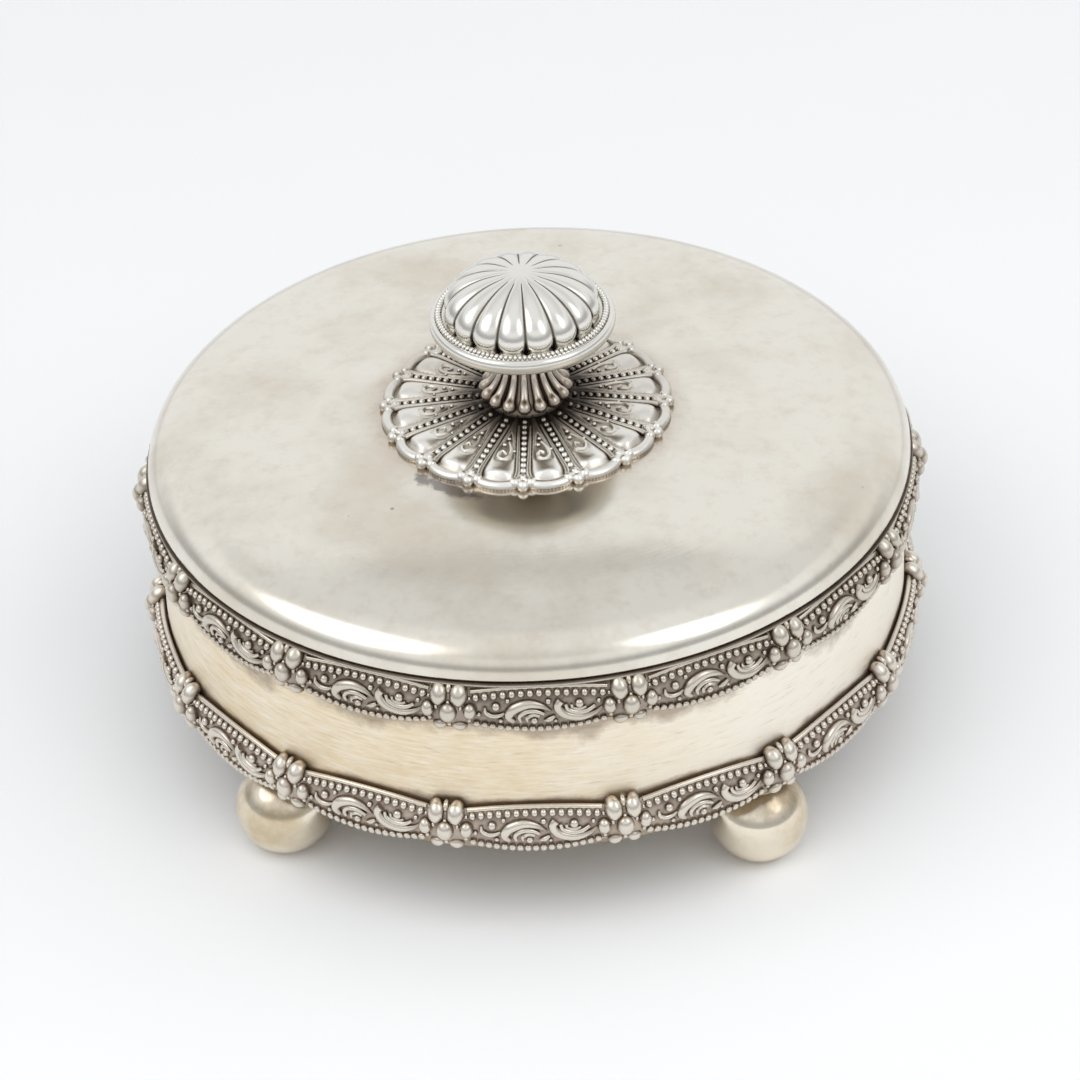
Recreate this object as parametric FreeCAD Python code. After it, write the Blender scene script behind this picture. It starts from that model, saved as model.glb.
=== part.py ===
"""Round silver box with a lift-off lid, stamped borders and four ball feet.

Millimetres, +Z up.  The origin is on the table, under the centre of the box, and -Y is the front.
A foot stands on each diagonal, and one berry cluster of the upper border is almost over the front right foot.
"""
import FreeCAD
import Part
import math
import os

from FreeCAD import Vector

# Ball feet: hollow balls with a worn flat below and a hole on top for the collet's spigot
FOOT_COUNT = 4
FOOT_RADIUS = 8.75
FOOT_FLAT_RADIUS = 1.6
FOOT_WALL = 0.8
FOOT_INSET = 7.1
FOOT_FIRST_ANGLE = -45.0
FOOT_NAMES = ("front_right", "back_right", "back_left", "front_left")

# Collets: short turned necks between the balls and the base
COLLET_HEIGHT = 2.2
COLLET_RADIUS = 4.6
COLLET_NECK_RADIUS = 3.2
COLLET_LAND = 0.5
SPIGOT_RADIUS = 2.0
SPIGOT_LENGTH = 2.6

# Body: rolled wall on a flat base plate, closed above by a flat mouth wire
WALL_RADIUS = 66.8
WALL_THICKNESS = 0.8
BODY_HEIGHT = 36.9
BASE_THICKNESS = 1.0
BASE_EDGE_ROUND = 0.3
MOUTH_WIRE_HEIGHT = 0.75
MOUTH_WIRE_OVERHANG = 1.6
MOUTH_WIRE_LIP = 1.0

# Stamped borders: a crowned strip with a cluster of berries between every two panels
PANEL_COUNT = 14
BORDER_HEIGHT = 9.2
BORDER_EDGE_THICKNESS = 0.7
BORDER_CROWN = 2.5
BORDER_DIP = 1.1
CLUSTER_WIDTH = 9.4
UPPER_BORDER_TURN = -0.6
LOWER_BORDER_TURN = -2.1

# Berries of a cluster: two drops, a bud between their tips, three berries in the middle, two flat ovals below
DROP_HALF_WIDTH = 1.05
DROP_HALF_HEIGHT = 2.0
DROP_OFFSET = 1.75
DROP_LEVEL = 3.0
BUD_HALF_WIDTH = 0.6
BERRY_HALF_WIDTH = 1.3
BERRY_HALF_HEIGHT = 1.6
BERRY_LEVEL = -0.35
BERRY_PROUD = 0.5
SIDE_BERRY_SCALE = 0.8
SIDE_BERRY_OFFSET = 3.75
SIDE_BERRY_LEVEL = 0.45
OVAL_HALF_WIDTH = 1.35
OVAL_HALF_HEIGHT = 0.85
OVAL_OFFSET = 1.95
BERRY_SINK = 0.4

# Lid: low spun dome with a rolled edge, and a flange that drops into the mouth
LID_OVERHANG = 1.2
LID_THICKNESS = 0.8
LID_CROWN_RISE = 10.0
LID_DOME_RADIUS = 563.0
LID_ROLL_WIDTH = 7.0
LID_LIP_WIDTH = 1.6
LID_LIP_ROUND = 0.5
FLANGE_DEPTH = 5.2
FLANGE_THICKNESS = 0.8

# Rosette: sixteen petals round the foot of the knob
PETAL_COUNT = 16
ROSETTE_TURN = -8.25
ROSETTE_RADIUS = 26.1
ROSETTE_EDGE_HEIGHT = 1.2
ROSETTE_EDGE_ROUND = 0.5
ROSETTE_RISE = 2.0
PETAL_NOTCH = 1.7
BOSS_RADIUS = 1.9
BOSS_HALF_LENGTH = 4.2
BOSS_PLACE = 0.76
BOSS_SINK = 0.9
RIB_RADIUS = 0.45
NOTCH_BEAD_RADIUS = 0.8

# Knob: fluted stem, saucer with a rolled rim, beaded wire and a gadrooned cap
STEM_FOOT_RADIUS = 8.2
STEM_FOOT_HEIGHT = 1.3
STEM_WAIST_RADIUS = 4.5
STEM_TOP_RADIUS = 5.2
STEM_HEIGHT = 14.6
STEM_FLUTE_COUNT = 16
STEM_FLUTE_DEPTH = 0.5
SAUCER_RADIUS = 16.2
SAUCER_RIM_HEIGHT = 3.0
SAUCER_CUP_DEPTH = 1.7
SAUCER_WALL = 1.1
SAUCER_SEAT_STEP = 0.5
CAP_RADIUS = 13.7
CAP_HEIGHT = 8.9
CAP_TUCK = 1.7
CAP_WALL = 1.0
CAP_TURN = -3.5
LOBE_COUNT = 16
LOBE_DEPTH = 1.0
BEAD_COUNT = 96
BEAD_RADIUS = 0.46
BEAD_WIRE_RADIUS = 0.3

# Fixing of the knob: stud through knob, rosette and lid, held by a washer and a nut below the lid
STUD_RADIUS = 1.75
STUD_END = 1.2
STUD_HEAD_RADIUS = 3.2
STUD_HEAD_HEIGHT = 1.2
WASHER_RADIUS = 6.0
WASHER_THICKNESS = 0.8
NUT_ACROSS_FLATS = 6.6
NUT_THICKNESS = 2.6

# Clearances
HOLE_CLEARANCE = 0.15
SEAT_CLEARANCE = 0.03
LID_CLEARANCE = 0.3

# Heights and radii worked out from the sizes above
AXIS = Vector(0, 0, 1)
ORIGIN = Vector(0, 0, 0)
FOOT_CENTRE_Z = math.sqrt(FOOT_RADIUS**2 - FOOT_FLAT_RADIUS**2)
BASE_BOTTOM = FOOT_CENTRE_Z + FOOT_RADIUS + COLLET_HEIGHT
BASE_TOP = BASE_BOTTOM + BASE_THICKNESS
RIM_TOP = BASE_BOTTOM + BODY_HEIGHT
RIM_BOTTOM = RIM_TOP - MOUTH_WIRE_HEIGHT
WALL_INNER_RADIUS = WALL_RADIUS - WALL_THICKNESS
FOOT_CIRCLE_RADIUS = WALL_RADIUS - FOOT_INSET
LID_RADIUS = WALL_RADIUS + LID_OVERHANG
MOUTH_RADIUS = WALL_INNER_RADIUS - MOUTH_WIRE_LIP
BORDER_RADIUS = WALL_RADIUS + SEAT_CLEARANCE
UPPER_BORDER_Z = RIM_BOTTOM - SEAT_CLEARANCE - BORDER_HEIGHT / 2
LOWER_BORDER_Z = BASE_TOP + BORDER_HEIGHT / 2
LID_CROWN_Z = RIM_TOP + LID_CROWN_RISE
SEAT_Z = LID_CROWN_Z + ROSETTE_RISE
SAUCER_BOTTOM = SEAT_Z + STEM_HEIGHT
SAUCER_TOP = SAUCER_BOTTOM + SAUCER_CUP_DEPTH + SAUCER_RIM_HEIGHT / 2
CAP_SEAT_Z = SAUCER_TOP - SAUCER_SEAT_STEP
BEAD_CIRCLE_RADIUS = CAP_RADIUS + BEAD_RADIUS + SEAT_CLEARANCE
HOLE_RADIUS = STUD_RADIUS + HOLE_CLEARANCE


def point(spot):
    """The 3-D point of a (radius, height) pair, in the XZ plane."""
    return Vector(spot[0], 0, spot[1])


def section(start, *steps):
    """Closed face in the XZ plane: a step is a point for a line, or several poles for a smooth curve."""
    edges = []
    here = start
    for step in steps:
        if isinstance(step[0], tuple):
            curve = Part.BezierCurve()
            curve.setPoles([point(spot) for spot in (here, *step)])
            edges.append(curve.toShape())
            here = step[-1]
        else:
            edges.append(Part.LineSegment(point(here), point(step)).toShape())
            here = step
    if here != start:
        edges.append(Part.LineSegment(point(here), point(start)).toShape())
    return Part.Face(Part.Wire(edges))


def turned(face, angle=360.0):
    """Solid turned from a section round the vertical axis."""
    return face.revolve(ORIGIN, AXIS, angle)


def ring(inner, outer, bottom, top):
    """Plain ring, or a disc where the inner radius is 0."""
    return turned(section((inner, bottom), (outer, bottom), (outer, top), (inner, top)))


def around(shape, count, first=0.0):
    """Copies of a shape, evenly spaced round the vertical axis."""
    copies = []
    for index in range(count):
        copy = shape.copy()
        copy.rotate(ORIGIN, AXIS, first + index * 360.0 / count)
        copies.append(copy)
    return copies


def joined(solids):
    """One solid from touching solids."""
    return solids[0].multiFuse(solids[1:]).removeSplitter()


def spheroid(centre, half_width, half_height, axis=AXIS):
    """Solid of revolution of a half ellipse, long or flat along its own axis."""
    ball = Part.makeSphere(half_width)
    scale = FreeCAD.Matrix()
    scale.scale(1.0, 1.0, half_height / half_width)
    solid = ball.transformGeometry(scale)
    turn = FreeCAD.Rotation(AXIS, axis)
    solid.Placement = FreeCAD.Placement(centre, turn)
    return solid


def lobed_wire(radius, depth, height, count):
    """Closed outline of equal arcs that bulge out between grooves, with the crests at the radius."""
    step = 2 * math.pi / count
    edges = []
    for index in range(count):
        spots = []
        for share, reach in ((0.0, radius - depth), (0.5, radius), (1.0, radius - depth)):
            angle = (index + share - 0.5) * step
            spots.append(Vector(reach * math.cos(angle), reach * math.sin(angle), height))
        edges.append(Part.Arc(*spots).toShape())
    return Part.Wire(edges)


def dome_z(radius):
    """Height of the lid's outside at a radius."""
    return LID_CROWN_Z - LID_DOME_RADIUS + math.sqrt(LID_DOME_RADIUS**2 - radius**2)


def dome_under_z(radius):
    """Height of the lid's underside at a radius."""
    return dome_z(radius) - LID_THICKNESS


def dome_pole(inner, outer, below=0.0):
    """Middle pole of the curve that follows the dome between two radii, or runs a depth below it."""
    return ((inner + outer) / 2, LID_CROWN_Z - inner * outer / (2 * LID_DOME_RADIUS) - below)


def foot_ball():
    """Hollow ball with a flat below and a round hole on top."""
    inner = FOOT_RADIUS - FOOT_WALL
    hole = SPIGOT_RADIUS + HOLE_CLEARANCE
    ball = Part.makeSphere(FOOT_RADIUS, Vector(0, 0, FOOT_CENTRE_Z))
    hollow = Part.makeSphere(inner, Vector(0, 0, FOOT_CENTRE_Z))
    drill = Part.makeCylinder(hole, FOOT_RADIUS * 2, Vector(0, 0, FOOT_CENTRE_Z))
    floor = Part.makeBox(4 * FOOT_RADIUS, 4 * FOOT_RADIUS, FOOT_RADIUS)
    floor.translate(Vector(-2 * FOOT_RADIUS, -2 * FOOT_RADIUS, -FOOT_RADIUS))
    return ball.cut(hollow.fuse(drill)).cut(floor)


def foot_collet():
    """Waisted neck that sits on the ball, with a spigot down into the ball's hole."""
    seat = FOOT_RADIUS + SEAT_CLEARANCE
    low = FOOT_CENTRE_Z + math.sqrt(seat**2 - COLLET_RADIUS**2)
    land = low + COLLET_LAND
    tip = FOOT_CENTRE_Z + seat - SPIGOT_LENGTH
    neck = section(
        (0, low),
        (COLLET_RADIUS, low),
        (COLLET_RADIUS, land),
        (
            (COLLET_NECK_RADIUS, land + COLLET_LAND),
            (COLLET_NECK_RADIUS, BASE_BOTTOM),
            (COLLET_RADIUS, BASE_BOTTOM),
        ),
        (0, BASE_BOTTOM),
    )
    body = turned(neck).cut(Part.makeSphere(seat, Vector(0, 0, FOOT_CENTRE_Z)))
    spigot = Part.makeCylinder(SPIGOT_RADIUS, BASE_BOTTOM - tip, Vector(0, 0, tip))
    return joined([body, spigot])


def at_foot(shape, index):
    """A foot's piece, moved from the axis to its place on the foot circle."""
    angle = math.radians(FOOT_FIRST_ANGLE + index * 360.0 / FOOT_COUNT)
    copy = shape.copy()
    copy.translate(Vector(FOOT_CIRCLE_RADIUS * math.cos(angle), FOOT_CIRCLE_RADIUS * math.sin(angle), 0))
    return copy


def base_plate():
    """Flat round base with softened edges."""
    edge = WALL_RADIUS - BASE_EDGE_ROUND
    return turned(
        section(
            (0, BASE_BOTTOM),
            (edge, BASE_BOTTOM),
            ((WALL_RADIUS, BASE_BOTTOM), (WALL_RADIUS, BASE_BOTTOM + BASE_EDGE_ROUND)),
            (WALL_RADIUS, BASE_TOP),
            (0, BASE_TOP),
        )
    )


def drum_wall():
    """Rolled sheet wall between the base plate and the mouth wire."""
    return ring(WALL_INNER_RADIUS, WALL_RADIUS, BASE_TOP, RIM_BOTTOM)


def mouth_wire():
    """Flat half-round wire that closes the wall and carries the lid."""
    outer = WALL_RADIUS + MOUTH_WIRE_OVERHANG
    bulge = MOUTH_WIRE_HEIGHT * 0.66
    return turned(
        section(
            (MOUTH_RADIUS, RIM_BOTTOM),
            (outer - bulge / 2, RIM_BOTTOM),
            ((outer + bulge / 6, RIM_BOTTOM), (outer + bulge / 6, RIM_TOP), (outer - bulge / 2, RIM_TOP)),
            (MOUTH_RADIUS, RIM_TOP),
        )
    )


def border_strip():
    """One pitch of the crowned strip, with its edges drawn in at the middle, where the berries are."""
    half_pitch = 180.0 / PANEL_COUNT
    half_height = BORDER_HEIGHT / 2
    edge = BORDER_RADIUS + BORDER_EDGE_THICKNESS
    crown = BORDER_RADIUS + BORDER_CROWN * 4 / 3 - BORDER_EDGE_THICKNESS / 3
    strip = turned(
        section(
            (BORDER_RADIUS, -half_height),
            (edge, -half_height),
            ((crown, -half_height * 0.6), (crown, half_height * 0.6), (edge, half_height)),
            (BORDER_RADIUS, half_height),
        ),
        2 * half_pitch,
    )
    strip.rotate(ORIGIN, AXIS, -half_pitch)
    reach = BORDER_RADIUS + 2 * BORDER_CROWN
    wide = reach * math.tan(math.radians(half_pitch)) * 1.02
    narrow = CLUSTER_WIDTH / 2
    dip = half_height - BORDER_DIP
    outline = []
    spots = ((-wide, half_height), (-narrow, dip), (narrow, dip), (wide, half_height))
    for side in (1, -1):
        across = [Vector(0, side * y, side * z) for y, z in spots]
        bend = (wide - narrow) * 0.4
        for start, end in ((across[0], across[1]), (across[2], across[3])):
            curve = Part.BezierCurve()
            pull = Vector(0, side * bend, 0)
            curve.setPoles([start, start + pull, end - pull, end])
            outline.append(curve.toShape())
        outline.insert(-1, Part.LineSegment(across[1], across[2]).toShape())
        outline.append(Part.LineSegment(across[3], Vector(0, side * wide, -side * half_height)).toShape())
    cutter = Part.Face(Part.Wire(Part.__sortEdges__(outline))).extrude(Vector(reach, 0, 0))
    return strip.common(cutter)


def berry(across, up, sink, half_width, half_height):
    """One berry of a cluster, its centre sunk below the strip's crown."""
    crown = BORDER_RADIUS + BORDER_CROWN
    angle = across / crown
    reach = crown - sink
    centre = Vector(reach * math.cos(angle), reach * math.sin(angle), up)
    return spheroid(centre, half_width, half_height)


def berry_cluster():
    """The berries of one cluster, about mid height."""
    side_width = BERRY_HALF_WIDTH * SIDE_BERRY_SCALE
    side_height = BERRY_HALF_HEIGHT * SIDE_BERRY_SCALE
    bud_level = DROP_LEVEL + DROP_HALF_HEIGHT / 2
    oval_level = OVAL_HALF_HEIGHT - BORDER_HEIGHT / 2 + BORDER_DIP / 2
    berries = [
        berry(0, BERRY_LEVEL, -BERRY_PROUD, BERRY_HALF_WIDTH, BERRY_HALF_HEIGHT),
        berry(0, bud_level, BERRY_SINK * 1.5, BUD_HALF_WIDTH, BUD_HALF_WIDTH * 1.7),
    ]
    for side in (-1, 1):
        berries.append(berry(side * DROP_OFFSET, DROP_LEVEL, BERRY_SINK, DROP_HALF_WIDTH, DROP_HALF_HEIGHT))
        berries.append(berry(side * SIDE_BERRY_OFFSET, SIDE_BERRY_LEVEL, BERRY_SINK, side_width, side_height))
        berries.append(berry(side * OVAL_OFFSET, oval_level, BERRY_SINK, OVAL_HALF_WIDTH, OVAL_HALF_HEIGHT))
    return berries


def border_pitch():
    """Strip and berry cluster of one pitch, cleared of the wall and of the mouth wire."""
    wire_reach = WALL_RADIUS + MOUTH_WIRE_OVERHANG + SEAT_CLEARANCE
    behind = ring(0, BORDER_RADIUS, -BORDER_HEIGHT, BORDER_HEIGHT)
    under_wire = ring(0, wire_reach, BORDER_HEIGHT / 2, BORDER_HEIGHT)
    return border_strip().multiFuse(berry_cluster()).cut(behind).cut(under_wire)


def border():
    """Whole border ring about its own mid height, with a cluster over the first foot."""
    return joined(around(border_pitch(), PANEL_COUNT, FOOT_FIRST_ANGLE))


def lid_cover():
    """Low dome with a rolled edge and a lip that sits on the mouth wire."""
    shoulder = LID_RADIUS - LID_ROLL_WIDTH
    inside = shoulder - LID_THICKNESS / 2
    lip = LID_RADIUS - LID_LIP_WIDTH
    edge = RIM_TOP + LID_LIP_ROUND
    roll = dome_z(shoulder) - edge
    inner_roll = dome_under_z(inside) - edge
    slope = shoulder / LID_DOME_RADIUS
    quarter = 0.55
    outer_pull = LID_ROLL_WIDTH * quarter
    inner_wall = LID_RADIUS - LID_THICKNESS
    inner_pull = (inner_wall - inside) * quarter
    return turned(
        section(
            (HOLE_RADIUS, dome_under_z(HOLE_RADIUS)),
            (HOLE_RADIUS, dome_z(HOLE_RADIUS)),
            (dome_pole(HOLE_RADIUS, shoulder), (shoulder, dome_z(shoulder))),
            (
                (shoulder + outer_pull, dome_z(shoulder) - slope * outer_pull),
                (LID_RADIUS, edge + roll * quarter),
                (LID_RADIUS, edge),
            ),
            ((LID_RADIUS, RIM_TOP), (LID_RADIUS - LID_LIP_ROUND, RIM_TOP)),
            (lip, RIM_TOP),
            (lip, edge),
            (inner_wall, edge + LID_LIP_ROUND),
            (
                (inner_wall, edge + inner_roll * quarter),
                (inside + inner_pull, dome_under_z(inside) - slope * inner_pull),
                (inside, dome_under_z(inside)),
            ),
            (dome_pole(HOLE_RADIUS, inside, LID_THICKNESS), (HOLE_RADIUS, dome_under_z(HOLE_RADIUS))),
        )
    )


def lid_flange():
    """Upright ring below the lid, a free fit in the mouth, its top cut to the lid's underside."""
    outer = MOUTH_RADIUS - LID_CLEARANCE
    tall = ring(outer - FLANGE_THICKNESS, outer, RIM_TOP - FLANGE_DEPTH, LID_CROWN_Z)
    return min(tall.cut(lid_cover()).Solids, key=lambda solid: solid.BoundBox.ZMin)


def petal_surface():
    """Lobed hill of the rosette, from the scalloped edge up to the flat seat of the stem."""
    edge_z = dome_z(ROSETTE_RADIUS) + ROSETTE_EDGE_HEIGHT
    inset = ROSETTE_RADIUS - ROSETTE_EDGE_ROUND
    wires = [
        lobed_wire(ROSETTE_RADIUS, PETAL_NOTCH, edge_z - 2 * ROSETTE_EDGE_HEIGHT, PETAL_COUNT),
        lobed_wire(ROSETTE_RADIUS, PETAL_NOTCH, edge_z - ROSETTE_EDGE_ROUND, PETAL_COUNT),
        lobed_wire(inset, PETAL_NOTCH, edge_z, PETAL_COUNT),
    ]
    for share in (0.5, 1.0):
        radius = inset + (STEM_FOOT_RADIUS - inset) * share
        depth = PETAL_NOTCH * (1.1 - share)
        wires.append(lobed_wire(radius, depth, edge_z + (SEAT_Z - edge_z) * share, PETAL_COUNT))
    return Part.makeLoft(wires, True, True)


def rosette():
    """Sixteen-petalled plate that fits the lid's dome, with bosses, ribs, beads and the stud's hole."""
    edge_z = dome_z(ROSETTE_RADIUS) + ROSETTE_EDGE_HEIGHT
    outward = Vector(ROSETTE_RADIUS - STEM_FOOT_RADIUS, 0, edge_z - SEAT_Z).normalize()
    boss_z = edge_z + (SEAT_Z - edge_z) * (1 - BOSS_PLACE) - BOSS_SINK
    boss_spot = Vector(ROSETTE_RADIUS * BOSS_PLACE, 0, boss_z)
    boss = spheroid(boss_spot, BOSS_RADIUS, BOSS_HALF_LENGTH, outward)
    notch = ROSETTE_RADIUS - PETAL_NOTCH
    rib_start = Vector(STEM_FOOT_RADIUS, 0, SEAT_Z - RIB_RADIUS)
    rib_end = Vector(notch - NOTCH_BEAD_RADIUS, 0, edge_z - RIB_RADIUS)
    rib = Part.makeCylinder(RIB_RADIUS, rib_start.distanceToPoint(rib_end), rib_start, rib_end - rib_start)
    bead = Part.makeSphere(NOTCH_BEAD_RADIUS, Vector(notch, 0, edge_z - NOTCH_BEAD_RADIUS / 2))
    half_step = 180.0 / PETAL_COUNT
    trims = around(boss, PETAL_COUNT)
    trims += around(rib, PETAL_COUNT, half_step)
    trims += around(bead, PETAL_COUNT, half_step)
    dome = LID_DOME_RADIUS + SEAT_CLEARANCE
    below = Part.makeSphere(dome, Vector(0, 0, LID_CROWN_Z - LID_DOME_RADIUS))
    above = ring(0, STEM_FOOT_RADIUS + BEAD_RADIUS, SEAT_Z, SEAT_Z + STEM_HEIGHT)
    hole = Part.makeCylinder(HOLE_RADIUS, STEM_HEIGHT, Vector(0, 0, SEAT_Z - STEM_HEIGHT))
    plate = petal_surface().multiFuse(trims).cut(below).cut(above).cut(hole)
    plate.rotate(ORIGIN, AXIS, ROSETTE_TURN)
    return plate


def knob_stem():
    """Fluted stem, wide at the foot, narrow at the waist and bored for the stud."""
    waist = STEM_HEIGHT * 0.6
    shape = (
        (STEM_FOOT_RADIUS, SEAT_Z),
        (STEM_FOOT_RADIUS - STEM_FLUTE_DEPTH, SEAT_Z + STEM_FOOT_HEIGHT),
        (STEM_WAIST_RADIUS * 1.2, SEAT_Z + waist / 2),
        (STEM_WAIST_RADIUS, SEAT_Z + waist),
        (STEM_TOP_RADIUS, SAUCER_BOTTOM),
    )
    wires = [lobed_wire(radius, STEM_FLUTE_DEPTH, height, STEM_FLUTE_COUNT) for radius, height in shape]
    stem = Part.makeLoft(wires, True, False)
    stem.rotate(ORIGIN, AXIS, ROSETTE_TURN)
    return stem.cut(Part.makeCylinder(HOLE_RADIUS, STEM_HEIGHT, Vector(0, 0, SEAT_Z)))


def knob_saucer():
    """Hollow saucer with a round rim and a sunk seat for the cap and its beaded wire."""
    half_rim = SAUCER_RIM_HEIGHT / 2
    middle = SAUCER_TOP - half_rim
    rim = SAUCER_RADIUS - half_rim
    bulge = SAUCER_RADIUS + half_rim / 3
    floor = SAUCER_BOTTOM + SAUCER_WALL
    well = CAP_RADIUS - LOBE_DEPTH - CAP_WALL
    return turned(
        section(
            (HOLE_RADIUS, SAUCER_BOTTOM),
            (STEM_TOP_RADIUS, SAUCER_BOTTOM),
            ((rim * 0.7, SAUCER_BOTTOM), (rim, middle - half_rim)),
            ((bulge, middle - half_rim), (bulge, SAUCER_TOP), (rim + BEAD_RADIUS, SAUCER_TOP)),
            (rim + BEAD_RADIUS, CAP_SEAT_Z),
            (well, CAP_SEAT_Z),
            ((well, floor), (STUD_HEAD_RADIUS * 2, floor)),
            (HOLE_RADIUS, floor),
        )
    )


def knob_beading():
    """Beaded wire round the foot of the cap."""
    level = CAP_SEAT_Z + BEAD_RADIUS
    wire = Part.makeTorus(BEAD_CIRCLE_RADIUS, BEAD_WIRE_RADIUS, Vector(0, 0, level))
    bead = Part.makeSphere(BEAD_RADIUS, Vector(BEAD_CIRCLE_RADIUS, 0, level))
    return wire.multiFuse(around(bead, BEAD_COUNT))


def knob_cap():
    """Hollow melon-shaped cap: sixteen gadroons that tuck in at the foot and fade out at the crown."""
    equator = CAP_SEAT_Z + CAP_TUCK
    rise = CAP_HEIGHT - CAP_TUCK
    wires = [lobed_wire(CAP_RADIUS * 0.93, LOBE_DEPTH, CAP_SEAT_Z, LOBE_COUNT)]
    for step in range(6):
        angle = math.radians(16.0 * step)
        shrink = math.cos(angle)
        height = equator + rise * math.sin(angle)
        wires.append(lobed_wire(CAP_RADIUS * shrink, LOBE_DEPTH * shrink, height, LOBE_COUNT))
    cap = Part.makeLoft(wires, True, False)
    cap.rotate(ORIGIN, AXIS, CAP_TURN)
    hollow = CAP_RADIUS - LOBE_DEPTH - CAP_WALL
    return cap.cut(spheroid(Vector(0, 0, CAP_SEAT_Z), hollow, CAP_HEIGHT - CAP_WALL))


def knob_fixing():
    """Stud, washer and nut on the axis."""
    washer_top = dome_under_z(WASHER_RADIUS) - SEAT_CLEARANCE
    nut_top = washer_top - WASHER_THICKNESS
    nut_bottom = nut_top - NUT_THICKNESS
    stud_bottom = nut_bottom - STUD_END
    head_bottom = SAUCER_BOTTOM + SAUCER_WALL
    shank = Part.makeCylinder(STUD_RADIUS, head_bottom - stud_bottom, Vector(0, 0, stud_bottom))
    head = Part.makeCylinder(STUD_HEAD_RADIUS, STUD_HEAD_HEIGHT, Vector(0, 0, head_bottom))
    corner = NUT_ACROSS_FLATS / math.sqrt(3)
    turns = [math.radians(60.0 * index) for index in range(7)]
    corners = [Vector(corner * math.cos(turn), corner * math.sin(turn), nut_bottom) for turn in turns]
    hexagon = Part.Face(Part.makePolygon(corners)).extrude(AXIS * NUT_THICKNESS)
    return {
        "knob_stud": joined([shank, head]),
        "knob_washer": ring(HOLE_RADIUS, WASHER_RADIUS, nut_top, washer_top),
        "knob_nut": hexagon.cut(Part.makeCylinder(STUD_RADIUS, NUT_THICKNESS, Vector(0, 0, nut_bottom))),
    }


def build():
    """Every piece of the box, by node name."""
    pieces = {}
    ball = foot_ball()
    collet = foot_collet()
    for index, name in enumerate(FOOT_NAMES):
        pieces["foot_ball_" + name] = at_foot(ball, index)
        pieces["foot_collet_" + name] = at_foot(collet, index)
    pieces["base_plate"] = base_plate()
    pieces["drum_wall"] = drum_wall()
    pieces["mouth_wire"] = mouth_wire()
    pieces["upper_border"] = border()
    pieces["lower_border"] = pieces["upper_border"].copy()
    pieces["upper_border"].rotate(ORIGIN, AXIS, UPPER_BORDER_TURN)
    pieces["upper_border"].translate(Vector(0, 0, UPPER_BORDER_Z))
    pieces["lower_border"].rotate(ORIGIN, AXIS, LOWER_BORDER_TURN)
    pieces["lower_border"].translate(Vector(0, 0, LOWER_BORDER_Z))
    pieces["lid_cover"] = lid_cover()
    pieces["lid_flange"] = lid_flange()
    pieces["rosette"] = rosette()
    pieces["knob_stem"] = knob_stem()
    pieces["knob_saucer"] = knob_saucer()
    pieces["knob_beading"] = knob_beading()
    pieces["knob_cap"] = knob_cap()
    pieces.update(knob_fixing())
    return pieces


def main():
    """Writes one STEP file for each piece."""
    os.makedirs("parts", exist_ok=True)
    for name, shape in build().items():
        shape.exportStep(os.path.join("parts", name + ".step"))
        print(name, "solids:", len(shape.Solids), "mm3:", round(shape.Volume, 1), "valid:", shape.isValid())


main()
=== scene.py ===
"""Round silver table box with a lift-off lid, dressed over its CAD frame.

Blender works in metres; the size fields of the classes are in millimetres.  +Z is up and -Y is the front.
"""
import logging
import math
from dataclasses import dataclass
from enum import Enum
from functools import partial
from typing import Any, Callable, Iterable, Optional, Sequence, Union

import bpy
from mathutils import Matrix, Vector, noise
from mathutils.kdtree import KDTree


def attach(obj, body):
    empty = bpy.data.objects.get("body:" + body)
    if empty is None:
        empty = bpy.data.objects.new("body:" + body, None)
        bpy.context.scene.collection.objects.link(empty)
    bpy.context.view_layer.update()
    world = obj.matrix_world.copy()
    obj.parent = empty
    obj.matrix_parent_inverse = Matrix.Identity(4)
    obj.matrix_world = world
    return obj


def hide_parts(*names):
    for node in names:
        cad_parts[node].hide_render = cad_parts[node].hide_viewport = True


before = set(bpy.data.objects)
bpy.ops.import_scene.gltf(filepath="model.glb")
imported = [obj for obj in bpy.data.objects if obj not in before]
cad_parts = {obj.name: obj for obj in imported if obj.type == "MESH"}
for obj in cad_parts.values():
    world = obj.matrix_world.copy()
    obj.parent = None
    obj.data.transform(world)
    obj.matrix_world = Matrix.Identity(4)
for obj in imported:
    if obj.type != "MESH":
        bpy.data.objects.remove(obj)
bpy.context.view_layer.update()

LOG = logging.getLogger("silver_box")
MM = 0.001
Pair = tuple[float, float]
Spot = tuple[float, float, float]
Object = bpy.types.Object
Material = bpy.types.Material
NodeTree = bpy.types.NodeTree
Socket = bpy.types.NodeSocket
Links = dict[Union[str, int], Socket]
Adder = Callable[..., Socket]
SOFT = {"interpolation_type": "SMOOTHSTEP"}


class Body(Enum):
    """Bodies that the pieces ride on."""

    BOX = "box"
    LID = "lid"


class Slot(Enum):
    """Material slot names of the record; no piece in this script is given one."""

    SPUN = "spun_silver"
    POLISHED = "polished_silver"
    ROLLED = "brushed_silver"
    STAMPED = "oxidised_silver"


# Curves


def bezier(poles: Sequence[Sequence[float]], count: int) -> list[tuple[float, ...]]:
    """Points on a Bezier curve, its ends included.

    Args:
        poles: Control points, all of the same length.
        count: Number of points.

    Returns:
        The points, evenly spaced in the curve's parameter.
    """
    points = []
    for index in range(count):
        share = index / (count - 1)
        row = [tuple(pole) for pole in poles]
        while len(row) > 1:
            row = [tuple(a + (b - a) * share for a, b in zip(p, q)) for p, q in zip(row, row[1:])]
        points.append(row[0])
    return points


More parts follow.
